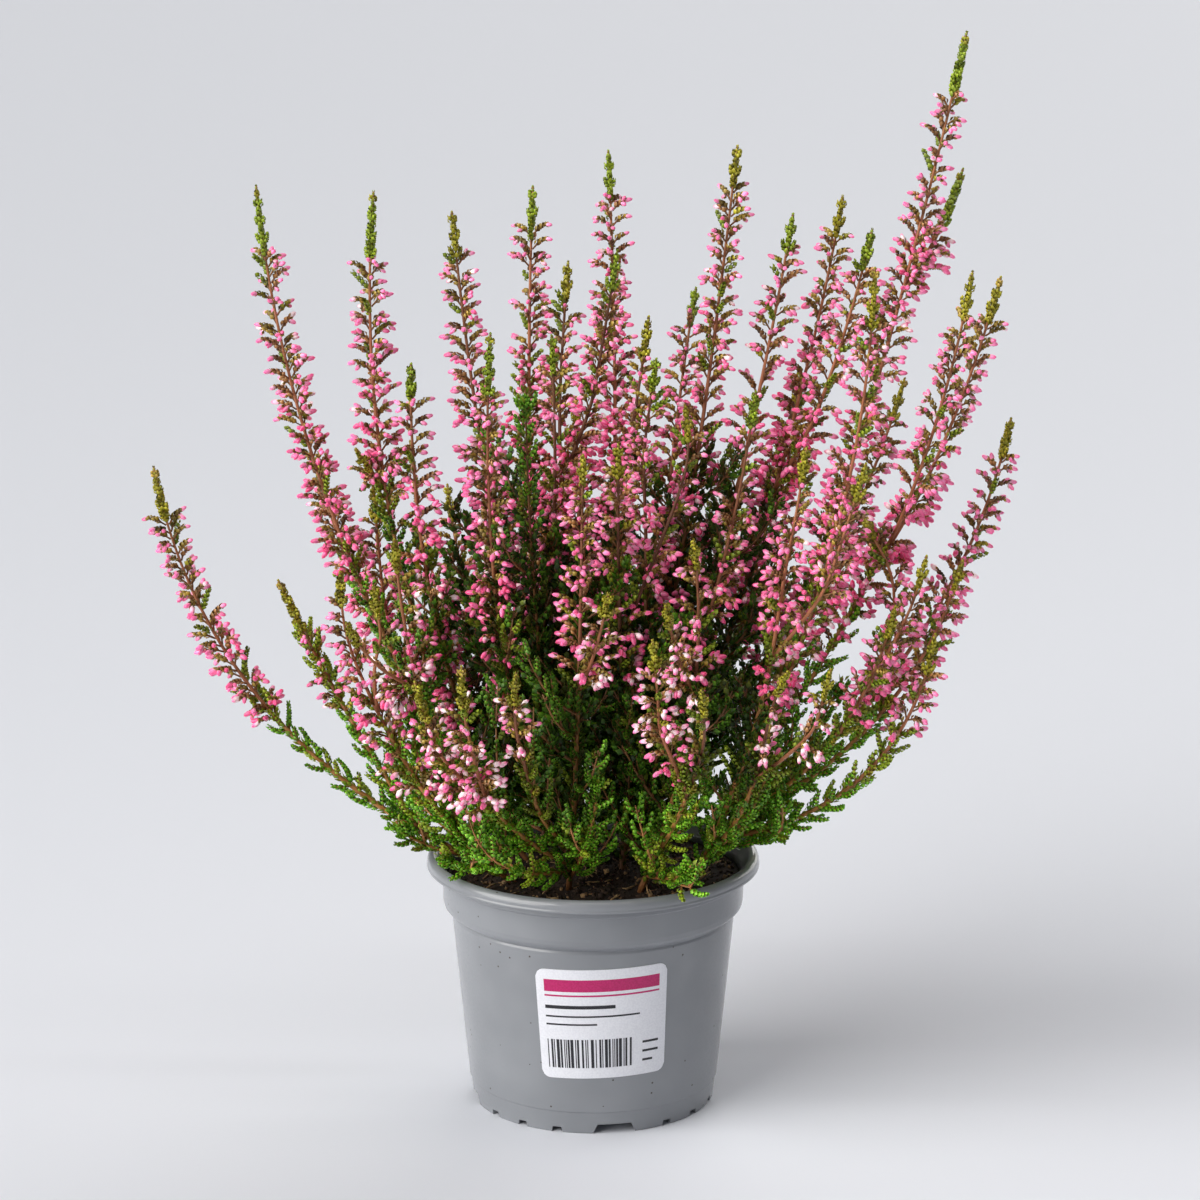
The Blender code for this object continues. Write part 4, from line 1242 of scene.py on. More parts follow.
def sprays(heap, chain, end, draw):
    """Leafy side branches of a stem, most of them deep in the bush, each with its small shoots."""
    at = nodes_between(SPRAY_FROM, end, SPRAY_EVERY, draw)
    place, way = on_stem(chain, at)
    out = square_to(way, draw.uniform(0, math.tau, len(at)))
    outward = np.stack([place[:, 0], place[:, 1], np.zeros(len(at))], axis=1) / FAR_OUT
    long = draw.uniform(*SPRAY_LONG, len(at))[:, None]
    pull = place + unit(out + outward) * SPRAY_PULL[0] * long + way * SPRAY_PULL[1] * long
    tip = place + unit(out + outward) * SPRAY_TIP * long + SPRAY_LIFT * long
    inside = (np.hypot(tip[:, 0], tip[:, 1]) < SPRAY_REACH) & (place[:, 2] < SPRAY_TOP)
    keep = inside & ((daylight(tip) < DIM) | (draw.random(len(at)) < OUTER_SPRAYS))
    for path in Twigs(place[keep], pull[keep], tip[keep]).paths(SPRAY_POINTS):
        if not outside_pot(path[3:]).all():
            continue
        whole = float(lengths(path)[-1])
        bark(heap, path, 0.0, whole, *SPRAY_BARK, sides=STALK_SIDES)
        side_shoots(heap, path, SPRAY_BARE, whole, draw,
                    lambda at: SPRAY_SHOOT[0] - SPRAY_SHOOT[1] * at / whole)


print("a spray every", SPRAY_EVERY, "mm of stem up to", SPRAY_TOP, "mm high")

# %% One branch
FOOT = 66.5
LOW_FLOWERS = 62.0
LOW_KEPT = 0.9
AMONG = 0.35
OUTERMOST = -90.0
LOW_WHITE = 0.3
STEM_R = (1.1, 0.75)
STEM_END_R = (0.68, 0.3)
TAN = 0.1
BRANCH_DRESS = (0.7, 0.85)
BARE_FOOT = 4.0
BARE_BELOW = 5.0
ROOT_R = np.array([1.6, 1.1])
ROOT_SIDES = 6
ROOT_TONE = 0.4
GREEN_TIP = 9.0
GREEN_TIP_KIND = 0.9


def grow_branch(heap, number, draw):
    """Fills a heap with a branch: its woody stems and their green shoots."""
    for index, strand in enumerate(strands):
        if strand.branch != number or strand.arm:
            continue
        chain = chains[index]
        whole = float(lengths(chain)[-1])
        end = whole - (strand.flowers + strand.tuft if strand.spike is not None else 0.0)
        first = strand.parent is None
        bark(heap, chain, 0.0, end, STEM_R[0 if first else 1],
             STEM_END_R[1 if strand.spike is None else 0], TAN)
        dress(heap, chain, BARE_FOOT, end, *BRANCH_DRESS, draw)
        if first:
            root = np.array([[*chain[0][:2], FOOT], chain[0]])
            tubes(heap, BARK, root[None], ROOT_R, ROOT_SIDES, ROOT_TONE, 0.0)
        sprays(heap, chain, end, draw)
        if strand.spike is None:
            side_shoots(heap, chain, BARE_FOOT, end - BARE_FOOT, draw,
                        lambda at: SHOOT_LONG * (1.1 - 0.55 * at / end))
            tuft(heap, chain, end - GREEN_TIP, end, GREEN_TIP_KIND, draw)
        else:
            inner = strand.tip[0] > OUTERMOST
            side_shoots(heap, chain, BARE_BELOW, end, draw,
                        lambda at: SHOOT_LONG * (1.05 - 0.25 * at / end),
                        among=AMONG if inner else 1.0, pitch=None if inner else OUTERMOST_PITCH)
            if inner and end > LOW_FLOWERS:
                flowering(heap, chain, end - LOW_FLOWERS, end, (0.0, 0.0), LOW_WHITE, draw, LOW_KEPT)


print("each branch stands", round(COLLET - FOOT, 1), "mm deep in the soil")

# %% [markdown]
# ## Finishes that read the four numbers
#
# The petals, the leaves and the bark each have one material. It reads the four numbers of a
# corner: along picks a colour on a ramp from the base to the tip, kind mixes three such ramps,
# brightness makes one leaf lighter than the next and holds the painted shade of the deep bush,
# and around draws the edges of the sepals or the keel of a leaf. Colour that is tied to the shape
# in this way stays where it is from every side, and it needs no picture.

# %% Small helpers for node trees
def ramp(tree, factor, stops):
    """A colour ramp: stops are places from 0 to 1 with their colours."""
    node = tree.nodes.new("ShaderNodeValToRGB")
    line = node.color_ramp
    line.interpolation = "EASE"
    while len(line.elements) < len(stops):
        line.elements.new(0.5)
    for element, (place, colour) in zip(line.elements, stops):
        element.position = place
        element.color = colour
    tree.links.new(factor, node.inputs["Fac"])
    return node.outputs["Color"]


def maths(tree, operation, first, second=0.0):
    """One sum of two values, each a socket or a number."""
    node = tree.nodes.new("ShaderNodeMath")
    node.operation = operation
    for socket, value in zip(node.inputs, (first, second)):
        if isinstance(value, (int, float)):
            socket.default_value = value
        else:
            tree.links.new(value, socket)
    return node.outputs[0]


def mixed(tree, factor, first, second):
    """Two colours mixed by a factor."""
    node = tree.nodes.new("ShaderNodeMix")
    node.data_type = "RGBA"
    sockets = (node.inputs[0], node.inputs[6], node.inputs[7])
    for socket, value in zip(sockets, (factor, first, second)):
        if isinstance(value, (int, float, tuple)):
            socket.default_value = value
        else:
            tree.links.new(value, socket)
    return node.outputs[2]


def spread_value(tree, value, low, high, new_low, new_high):
    """A value moved from one range to another, and kept inside it."""
    node = tree.nodes.new("ShaderNodeMapRange")
    tree.links.new(value, node.inputs["Value"])
    for name, number in (("From Min", low), ("From Max", high),
                         ("To Min", new_low), ("To Max", new_high)):
        node.inputs[name].default_value = number
    return node.outputs["Result"]


print("four helpers for node trees")

# %% Bumps at a chosen size
BUMP_DETAIL = 3.0


def bumpy(tree, shader, size, strength, depth):
    """Fine relief: a noise of a given size in metres, as a bump of a given depth."""
    where = tree.nodes.new("ShaderNodeTexCoord")
    noise = tree.nodes.new("ShaderNodeTexNoise")
    noise.inputs["Scale"].default_value = 1.0 / size
    noise.inputs["Detail"].default_value = BUMP_DETAIL
    tree.links.new(where.outputs["Object"], noise.inputs["Vector"])
    bump = tree.nodes.new("ShaderNodeBump")
    bump.inputs["Strength"].default_value = strength
    bump.inputs["Distance"].default_value = depth
    tree.links.new(noise.outputs["Fac"], bump.inputs["Height"])
    tree.links.new(bump.outputs["Normal"], shader.inputs["Normal"])
    return noise.outputs["Fac"]


print("a bump is a noise that bends the light, not the mesh")

# %% A finish of three ramps
LINE_SHARP = 6.0


def plant_finish(name, ramps, lines, tones, roughness, relief):
    """A material whose colour follows the corner's four numbers."""
    material, tree, shader = new_material(name, ramps[1][1][1], roughness)
    shade = tree.nodes.new("ShaderNodeAttribute")
    shade.attribute_name = "shade"
    parts = tree.nodes.new("ShaderNodeSeparateColor")
    tree.links.new(shade.outputs["Color"], parts.inputs["Color"])
    along, tone, kind = parts.outputs
    first, second, third = (ramp(tree, along, stops) for stops in ramps)
    low = mixed(tree, spread_value(tree, kind, 0.0, 0.5, 0.0, 1.0), first, second)
    colour = mixed(tree, spread_value(tree, kind, 0.5, 1.0, 0.0, 1.0), low, third)
    turn = maths(tree, "MULTIPLY", shade.outputs["Alpha"], lines[0] * math.pi)
    edge = maths(tree, "ABSOLUTE", maths(tree, "COSINE", turn))
    line = maths(tree, "MULTIPLY", maths(tree, "POWER", edge, LINE_SHARP), lines[1])
    colour = mixed(tree, line, colour, lines[2])
    light = tree.nodes.new("ShaderNodeHueSaturation")
    tree.links.new(spread_value(tree, tone, 0.0, 1.0, *tones), light.inputs["Value"])
    tree.links.new(colour, light.inputs["Color"])
    tree.links.new(light.outputs["Color"], shader.inputs["Base Color"])
    bumpy(tree, shader, *relief)
    return material, shader


print("a ramp for each kind, and lines round each leaf or bud")

# %% Petals
petals, petal_shader = plant_finish(
    "heather_petals",
    (((0.0, paint(244, 190, 206)), (0.34, paint(238, 92, 150)), (1.0, paint(212, 36, 100))),
     ((0.0, paint(248, 216, 228)), (0.42, paint(244, 136, 182)), (1.0, paint(228, 80, 144))),
     ((0.0, paint(250, 238, 232)), (0.50, paint(250, 222, 226)), (1.0, paint(228, 88, 146)))),
    (2.0, 0.20, paint(252, 206, 226)), (1.00, 1.70), 0.28, (0.0005, 0.2, 0.0002))
petal_shader.inputs["Subsurface Weight"].default_value = 0.10
petal_shader.inputs["Subsurface Radius"].default_value = (0.8, 0.35, 0.4)
petal_shader.inputs["Subsurface Scale"].default_value = 0.0012
petal_shader.inputs["Sheen Weight"].default_value = 0.10
print("petals: deep pink, pale pink and white with a pink tip")

# %% Leaves
# Each ramp runs from a dark base to a bright tip: partly the leaves' own colour, partly painted shade at
# the base, which lies under the next leaf, and painted light on the tip.
leaves, leaf_shader = plant_finish(
    "heather_leaves",
    (((0.0, paint(86, 48, 24)), (0.55, paint(164, 112, 62)), (1.0, paint(222, 180, 130))),
     ((0.0, paint(80, 76, 6)), (0.55, paint(156, 150, 30)), (1.0, paint(202, 190, 74))),
     ((0.0, paint(34, 66, 4)), (0.5, paint(84, 144, 18)), (1.0, paint(148, 202, 54)))),
    (1.0, 0.12, paint(206, 214, 120)), (0.18, 1.50), 0.42, (0.0004, 0.3, 0.0002))
leaf_shader.inputs["Specular IOR Level"].default_value = 0.35
leaf_shader.inputs["Subsurface Weight"].default_value = 0.05
leaf_shader.inputs["Subsurface Scale"].default_value = 0.0010
print("leaves: brown green, olive and fresh green")

# %% Bark
barks, _ = plant_finish(
    "heather_bark",
    (((0.0, paint(156, 98, 48)), (0.5, paint(200, 134, 70)), (1.0, paint(172, 116, 58))),
     ((0.0, paint(160, 106, 60)), (0.5, paint(156, 112, 60)), (1.0, paint(142, 110, 56))),
     ((0.0, paint(168, 104, 66)), (0.5, paint(178, 108, 72)), (1.0, paint(164, 106, 64)))),
    (3.0, 0.30, paint(216, 160, 116)), (0.35, 1.30), 0.55, (0.0007, 0.6, 0.0004))
PLANT_FINISHES = (petals, leaves, barks)
print("bark: tan below, reddish brown above")

# %% [markdown]
# ## From a heap to a piece
#
# A heap becomes one mesh: its corners, its triangles, a finish for each triangle and the four
# numbers as a colour attribute. It also gets a flat map for baking, with along across it and a
# row for each brightness and kind, so that all corners of equal finish share one place on it.
# Each piece then gets its finishes, rides on the root body and hides the solid it stands for.

# %% Turn a heap into a mesh
ROW_FILL = 0.35
MAP_EDGE = 0.02
MAP_WIDE = 0.96


def mesh_from(heap, name):
    """One smooth mesh of a heap's triangles, with its finishes and its map."""
    corners = np.concatenate(heap.corners) * MM
    faces = np.concatenate(heap.faces)
    shades = np.concatenate(heap.shades)
    mesh = bpy.data.meshes.new(name)
    mesh.vertices.add(len(corners))
    mesh.vertices.foreach_set("co", corners.ravel())
    mesh.loops.add(faces.size)
    mesh.loops.foreach_set("vertex_index", faces.ravel())
    mesh.polygons.add(len(faces))
    mesh.polygons.foreach_set("loop_start", np.arange(len(faces)) * 3)
    mesh.polygons.foreach_set("material_index", np.concatenate(heap.finishes))
    mesh.update(calc_edges=True)
    mesh.shade_smooth()
    mesh.attributes.new("shade", "FLOAT_COLOR", "POINT").data.foreach_set("color", shades.ravel())
    row = np.rint(shades[:, 2] * (KINDS - 1)) * TONES + np.rint(shades[:, 1] * (TONES - 1))
    flat = np.stack([MAP_EDGE + MAP_WIDE * shades[:, 0],
                     (row + 0.5 + ROW_FILL * (shades[:, 3] - 0.5)) / (TONES * KINDS)], axis=1)
    mesh.uv_layers.new(name="OFBake").data.foreach_set("uv", flat[faces.ravel()].ravel())
    return mesh


print("a row of the map for each of", TONES * KINDS, "finishes of a kind")

# %% Put a piece in the place of a solid
def new_piece(name, mesh, node):
    """An object of a mesh that stands for a node of the frame, riding on the root, with the node hidden.
    """
    piece = bpy.data.objects.new(name, mesh)
    bpy.context.scene.collection.objects.link(piece)
    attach(piece, "root")
    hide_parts(node)


# %% Grow the flower spikes
FIRST_SEED = 1000


def grow(name, node, filled, seed):
    """A piece for a node from a heap that is filled by one of the growing rules."""
    heap = Heap()
    filled(heap, seed, np.random.default_rng(FIRST_SEED + seed))
    mesh = mesh_from(heap, name)
    for finish in PLANT_FINISHES:
        mesh.materials.append(finish)
    new_piece(name, mesh, node)
    return len(mesh.polygons)


spikes = 1 + max(strand.spike for strand in strands if strand.spike is not None)
grown = [grow(f"flower_spike_{n + 1:02d}", f"spike_{n + 1:02d}", grow_spike, n) for n in range(spikes)]
print(spikes, "spikes,", sum(grown), "triangles, the largest", max(grown))

# %% Grow the branches
grown = [grow(f"leafy_stems_{n + 1:02d}", f"branch_{n + 1:02d}", grow_branch, n)
         for n in range(len(BRANCHES))]
print(len(grown), "branches,", sum(grown), "triangles, the largest", max(grown))

# %% [markdown]
# ## The pot
#
# The pot is one thin moulding: a rolled rim, a fine ring under it, a collar, a sloping step, a
# tapered body, a seam line near the bottom and a notched foot. A moulding that is round all
# the way is best turned from its profile. Every corner of the profile is first rounded a
# little, because a real moulded edge always catches a thin line of light, and the notches and
# drain holes are then cut out.

# %% The pot's profile
RIM_R = 55.0
RIM_TOP = 84.0
RIM_DEPTH = 4.2
MOUTH_R = 51.6
COLLAR_TOP_R = 50.2
COLLAR_LOW_R = 49.7
COLLAR_LOW = 67.0
RING_LOW = 76.8
BODY_TOP_R = 46.8
BODY_TOP = 64.2
SEAM_R = 41.4
SEAM = 7.8
FOOT_R = 40.1
WALL = 1.3
FLOOR_LOW = 3.4
FLOOR_THICK = 1.4


def pot_profile():
    """From the floor's middle up the inside, over the rim and down the outside to the axis."""
    floor_top = FLOOR_LOW + FLOOR_THICK
    inside = [
        (0.0, floor_top, 0.0),
        (FOOT_R - WALL, floor_top, 0.8),
        (BODY_TOP_R - WALL, BODY_TOP + 0.4, 0.8),
        (COLLAR_LOW_R - WALL, COLLAR_LOW + 0.4, 0.8),
        (COLLAR_TOP_R - WALL, RING_LOW + 1.2, 0.6)]
    rim = [
        (MOUTH_R, RIM_TOP - 0.6, 0.5),
        (MOUTH_R + 0.9, RIM_TOP, 0.8),
        (RIM_R - 1.9, RIM_TOP, 1.0),
        (RIM_R - 0.55, RIM_TOP - 0.75, 0.9),
        (RIM_R - 0.1, RIM_TOP - 2.2, 0.8),
        (RIM_R - 0.2, RIM_TOP - 3.0, 0.25),
        (RIM_R, RIM_TOP - 3.4, 0.15),
        (RIM_R, RIM_TOP - 3.9, 0.12),
        (RIM_R - 0.5, RIM_TOP - RIM_DEPTH, 0.12)]
    outside = [
        (COLLAR_TOP_R + 0.3, RIM_TOP - RIM_DEPTH + 0.6, 0.3),
        (COLLAR_TOP_R + 0.6, RING_LOW + 0.5, 0.12),
        (COLLAR_TOP_R - 0.35, RING_LOW - 0.05, 0.1),
        (COLLAR_LOW_R, COLLAR_LOW, 1.8),
        (BODY_TOP_R + 0.6, BODY_TOP + 1.0, 0.5),
        (BODY_TOP_R - 0.25, BODY_TOP + 0.35, 0.1),
        (BODY_TOP_R + 0.05, BODY_TOP - 0.5, 0.2),
        (SEAM_R, SEAM, 0.12),
        (SEAM_R - 0.45, SEAM - 0.4, 0.12),
        (FOOT_R, 0.0, 0.3),
        (FOOT_R - WALL - 0.2, 0.0, 0.3),
        (FOOT_R - WALL - 0.2, FLOOR_LOW, 0.4),
        (0.0, FLOOR_LOW, 0.0)]
    return inside + rim + outside


print("the pot's profile has", len(pot_profile()), "corners")

# %% Round the profile's corners
ARC_POINTS = 3
SUPPORT = 0.2
SUPPORTED_FROM = 0.8
LONGEST_CUT = 0.45


def rounded(profile):
    """The profile with each corner replaced by a short curve of its own size."""
    points = [profile[0][:2]]
    for before, here, after in zip(profile, profile[1:], profile[2:]):
        corner = np.array(here[:2])
        back, ahead = np.array(before[:2]) - corner, np.array(after[:2]) - corner
        cut_back = min(here[2], LONGEST_CUT * np.linalg.norm(back))
        cut_ahead = min(here[2], LONGEST_CUT * np.linalg.norm(ahead))
        one = corner + back / np.linalg.norm(back) * cut_back
        two = corner + ahead / np.linalg.norm(ahead) * cut_ahead
        for t in np.linspace(0.0, 1.0, ARC_POINTS):
            points.append(tuple((1 - t) ** 2 * one + 2 * t * (1 - t) * corner + t ** 2 * two))
    points.append(profile[-1][:2])
    return points


def supported(points):
    """The points with two more near the ends of each long stretch, which keep its shading flat."""
    result = [points[0]]
    for before, after in zip(points, points[1:]):
        step = np.array(after) - np.array(before)
        long = float(np.linalg.norm(step))
        if long > SUPPORTED_FROM:
            result += [tuple(np.array(before) + step * share)
                       for share in (SUPPORT / long, 1 - SUPPORT / long)]
        result.append(after)
    return result


print("and", len(rounded(pot_profile())), "points once rounded")

# %% Turn a profile into a body
POT_STEPS = 128


def turned_mesh(name, profile, steps):
    """A closed body turned round the vertical axis, facing out."""
    shape = bmesh.new()
    rings = []
    for r, z in profile:
        turns = [math.tau * k / steps for k in range(steps)] if r > 0 else [0.0]
        rings.append([shape.verts.new((r * math.cos(turn) * MM, r * math.sin(turn) * MM, z * MM))
                      for turn in turns])
    for one, two in zip(rings, rings[1:]):
        for k in range(steps):
            corners = [one[k % len(one)], one[(k + 1) % len(one)]]
            corners += [two[(k + 1) % len(two)], two[k % len(two)]]
            shape.faces.new(list(dict.fromkeys(corners)))
    bmesh.ops.recalc_face_normals(shape, faces=shape.faces)
    mesh = bpy.data.meshes.new(name)
    shape.to_mesh(mesh)
    shape.free()
    return mesh


pot_mesh = turned_mesh("nursery_pot", supported(rounded(pot_profile())), POT_STEPS)
print("the turned pot has", len(pot_mesh.polygons), "faces")

# %% Cut the notches and the drain holes
BIG_NOTCHES = 4
BIG_NOTCH_FIRST = 10.0
BIG_NOTCH = (16.0, 11.0, 3.3)
SMALL_NOTCH = (4.4, 3.0, 1.9)
SMALL_NOTCH_ANGLES = (27.0, 45.0, 63.0)
DRAINS = 6
DRAIN_R = 3.5
DRAIN_CIRCLE_R = 27.0
DRILL_SIDES = 32
CUT_THROUGH = 8.0
CUT_BELOW = -2.0


def cutter_from(shape, place, turn=0.0):
    """An object of a cutter's shape, in the cutters' collection."""
    mesh = bpy.data.meshes.new("cutter")
    shape.to_mesh(mesh)
    shape.free()
    cutter = bpy.data.objects.new("cutter", mesh)
    cutter.location = place
    cutter.rotation_euler = (0.0, 0.0, turn)
    cutters.objects.link(cutter)


def notch_cutter(azimuth, size):
    """A wedge across the foot ring, wide below and narrower above."""
    low, high, tall = size
    shape = bmesh.new()
    bmesh.ops.create_cube(shape, size=1.0)
    for corner in shape.verts:
        top = corner.co.z > 0
        corner.co.x *= (high if top else low) * MM
        corner.co.y *= CUT_THROUGH * MM
        corner.co.z = (tall if top else CUT_BELOW) * MM
    turn = math.radians(azimuth)
    cutter_from(shape, (FOOT_R * math.sin(turn) * MM, -FOOT_R * math.cos(turn) * MM, 0.0), turn)


cutters = bpy.data.collections.new("cutters")
bpy.context.scene.collection.children.link(cutters)
for quarter in range(BIG_NOTCHES):
    azimuth = BIG_NOTCH_FIRST + quarter * 360.0 / BIG_NOTCHES
    notch_cutter(azimuth, BIG_NOTCH)
    for step in SMALL_NOTCH_ANGLES:
        notch_cutter(azimuth + step, SMALL_NOTCH)
for number in range(DRAINS):
    turn = math.tau * (number + 0.5) / DRAINS
    drill = bmesh.new()
    bmesh.ops.create_cone(drill, cap_ends=True, segments=DRILL_SIDES, radius1=DRAIN_R * MM,
                          radius2=DRAIN_R * MM, depth=CUT_THROUGH * MM)
    cutter_from(drill, (DRAIN_CIRCLE_R * math.cos(turn) * MM, DRAIN_CIRCLE_R * math.sin(turn) * MM,
                        FLOOR_LOW * MM))

# %% Apply the cuts
SHARP = math.radians(40)


def cut_with(mesh, tools):
    """The mesh after a Boolean difference with a collection, whose cutters are then removed."""
    body = bpy.data.objects.new("body", mesh)
    bpy.context.scene.collection.objects.link(body)
    difference = body.modifiers.new("cut", "BOOLEAN")
    difference.operand_type = "COLLECTION"
    difference.collection = tools
    difference.solver = "EXACT"
    seen = body.evaluated_get(bpy.context.evaluated_depsgraph_get())
    result = bpy.data.meshes.new_from_object(seen)
    for thing in [body, *tools.objects]:
        bpy.data.objects.remove(thing)
    bpy.data.collections.remove(tools)
    return result


pot_mesh = cut_with(pot_mesh, cutters)
pot_mesh.name = "nursery_pot"
pot_mesh.shade_smooth()
pot_mesh.set_sharp_from_angle(angle=SHARP)
print("the cut pot has", len(pot_mesh.polygons), "faces")

# %% [markdown]
# ## Grey nursery plastic
#
# The pot is a satin grey plastic. Up close it has a very fine grain, a faint mottle, and small
# dark specks of soil that stick to it. The specks come from a cell noise: only in three cells
# out of ten, and only near their middles.

# %% Make the plastic
CLOUD_SCALE = 38.0
SPECK_SCALE = 300.0
SPECK_FROM = 0.70
SPECK_R = 0.10

plastic, tree, shader = new_material("grey_plastic", paint(129, 132, 137), 0.42)
mottle = bumpy(tree, shader, 0.0009, 0.12, 0.0001)
where = tree.nodes.new("ShaderNodeTexCoord")
clouds = tree.nodes.new("ShaderNodeTexNoise")
clouds.inputs["Scale"].default_value = CLOUD_SCALE
tree.links.new(where.outputs["Object"], clouds.inputs["Vector"])
cells = tree.nodes.new("ShaderNodeTexVoronoi")
cells.inputs["Scale"].default_value = SPECK_SCALE
tree.links.new(where.outputs["Object"], cells.inputs["Vector"])
drawn = tree.nodes.new("ShaderNodeSeparateColor")
tree.links.new(cells.outputs["Color"], drawn.inputs["Color"])
rare = maths(tree, "GREATER_THAN", drawn.outputs[0], SPECK_FROM)
near = maths(tree, "LESS_THAN", cells.outputs["Distance"], SPECK_R)
speck = maths(tree, "MULTIPLY", rare, near)
grey = ramp(tree, clouds.outputs["Fac"], ((0.3, paint(124, 127, 132)), (0.7, paint(134, 137, 142))))
tree.links.new(mixed(tree, speck, grey, paint(62, 54, 48)), shader.inputs["Base Color"])
tree.links.new(spread_value(tree, mottle, 0.3, 0.7, 0.36, 0.48), shader.inputs["Roughness"])
shader.inputs["Coat Weight"].default_value = 0.8
shader.inputs["Coat Roughness"].default_value = 0.14
pot_mesh.materials.clear()
pot_mesh.materials.append(plastic)
new_piece("nursery_pot", pot_mesh, "pot")
print("plastic with grain, mottle and specks")

# %% [markdown]
# ## The label
#
# A white paper label with round corners is stuck on the pot's front, a little askew. It is laid
# out flat as a grid of strips, cut round at its corners, and then wrapped on the pot's cone.
# The print is a plain pattern: a magenta band across the top with a thin line under it, lines of
# different lengths and a block of upright bars to the left. Each is a thin patch of ink on the
# paper.

# %% Wrap a flat sheet on the pot
LABEL_WIDE = 42.6
LABEL_HIGH = 38.2
LABEL_CORNER = 3.0
LABEL_MIDDLE = 39.4
LABEL_AZIMUTH = math.radians(4.3)
LABEL_TILT = math.radians(1.6)
PAPER = 0.28
INK = 0.03
LABEL_LIFT = 0.04
EDGE_TRIM = 0.02


def body_radius(z):
    """The pot's outer radius on its tapered body."""
    return SEAM_R + (BODY_TOP_R - SEAM_R) * (z - SEAM) / (BODY_TOP - SEAM)


def wrapped(across, up, lift):
    """A place on the label, in millimetres from its middle, on the cone of the pot."""
    x = across * math.cos(LABEL_TILT) - up * math.sin(LABEL_TILT)
    z = LABEL_MIDDLE + across * math.sin(LABEL_TILT) + up * math.cos(LABEL_TILT)
    turn = LABEL_AZIMUTH + x / body_radius(LABEL_MIDDLE)
    radius = (body_radius(z) + lift) * MM
    return (radius * math.sin(turn), -radius * math.cos(turn), z * MM)


print("the label's middle is", round(body_radius(LABEL_MIDDLE), 1), "mm from the pot's axis")

# %% Cut the paper and print it
STRIPS = 60


def half_high(across):
    """Half the label's height at a place across it, less at its round corners."""
    into = max(abs(across) - (LABEL_WIDE / 2 - LABEL_CORNER), 0.0)
    return LABEL_HIGH / 2 - LABEL_CORNER + math.sqrt(max(LABEL_CORNER ** 2 - into ** 2, 0.0))


def patch(shape, left, right, low, high, lift, thick, finish, strips):
    """A closed thin sheet between two sides, bent on the pot: low and high may vary across."""
    layers = []
    for step in range(strips + 1):
        across = left + (right - left) * step / strips
        column = [wrapped(across, up(across), lift + rise) for up, rise in
                  ((low, 0.0), (high, 0.0), (high, thick), (low, thick))]
        layers.append([shape.verts.new(corner) for corner in column])
    for one, two in zip(layers, layers[1:]):
        for k in range(4):
            face = shape.faces.new((one[k], one[(k + 1) % 4], two[(k + 1) % 4], two[k]))
            face.material_index = finish
    for ends in (layers[0][::-1], layers[-1]):
        shape.faces.new(ends).material_index = finish


label_shape = bmesh.new()
edge = LABEL_WIDE / 2 - EDGE_TRIM
patch(label_shape, -edge, edge, lambda x: -half_high(x), half_high, LABEL_LIFT, PAPER, 0, STRIPS)
print("the paper has", len(label_shape.faces), "faces")

# %% The printed marks
DARK, MAGENTA = 1, 2
PRINT = (
    (-18.6, 18.6, 11.4, 15.6, MAGENTA), (-18.6, 18.6, 9.7, 10.3, MAGENTA),
    (-18.6, 4.0, 5.4, 6.6, DARK), (-18.6, 12.0, 2.4, 3.0, DARK), (-18.6, -2.0, -0.4, 0.2, DARK),
    (13.0, 18.6, -8.0, -7.2, DARK), (13.0, 18.6, -11.2, -10.4, DARK),
    (13.0, 16.6, -14.4, -13.6, DARK))
BARS = (-18.6, 9.6, -15.4, -5.4)
BAR_RHYTHM = (1, 2, 1, 3, 2, 1, 1, 2, 3, 1, 2, 2, 1, 1, 3)
BAR_UNITS = 83
BAR_FULL = 0.95
GAP_FULL = 0.85
INK_STRIP = 1.5


def print_bar(left, right, low, high, ink):
    """One printed bar, bent on the label."""
    strips = max(int((right - left) / INK_STRIP), 1)
    patch(label_shape, left, right, lambda x: low, lambda x: high, LABEL_LIFT + PAPER, INK, ink, strips)


for bar in PRINT:
    print_bar(*bar)
left, right, low, high = BARS
unit_wide = (right - left) / BAR_UNITS
at = left
number = 0
while at < right - unit_wide:
    wide = BAR_RHYTHM[number % len(BAR_RHYTHM)] * unit_wide * BAR_FULL
    print_bar(at, min(at + wide, right), low, high, DARK)
    at += wide + BAR_RHYTHM[(number * 2 + 3) % len(BAR_RHYTHM)] * unit_wide * GAP_FULL
    number += 1
print(len(PRINT), "plain marks and", number, "upright bars")

# %% Paper and ink
bmesh.ops.recalc_face_normals(label_shape, faces=label_shape.faces)
label_mesh = bpy.data.meshes.new("pot_label")
label_shape.to_mesh(label_mesh)
label_shape.free()


def printed_finish(name, dark, light, roughness):
    """Paper or ink with a faint mottle of fibres."""
    material, tree, shader = new_material(name, light, roughness)
    fibres = bumpy(tree, shader, 0.0006, 0.10, 0.00005)
    tree.links.new(ramp(tree, fibres, ((0.35, dark), (0.65, light))), shader.inputs["Base Color"])
    return material


for finish in (printed_finish("label_paper", paint(222, 223, 230), paint(230, 231, 237), 0.38),
               printed_finish("dark_ink", paint(24, 24, 30), paint(38, 38, 44), 0.4),
               printed_finish("magenta_ink", paint(176, 22, 92), paint(190, 30, 104), 0.38)):
    label_mesh.materials.append(finish)
new_piece("pot_label", label_mesh, "label")
print("the label has", len(label_mesh.polygons), "faces")

# %% [markdown]
# ## The soil
#
# The soil is dark, moist peat with crumbs and pale wood fibres. It is a turned body whose top
# is raised and lowered by a few waves, with some two thousand loose crumbs and short bent
# fibres sunk into it. The crumbs matter more than the body: their shadows make it look loose.

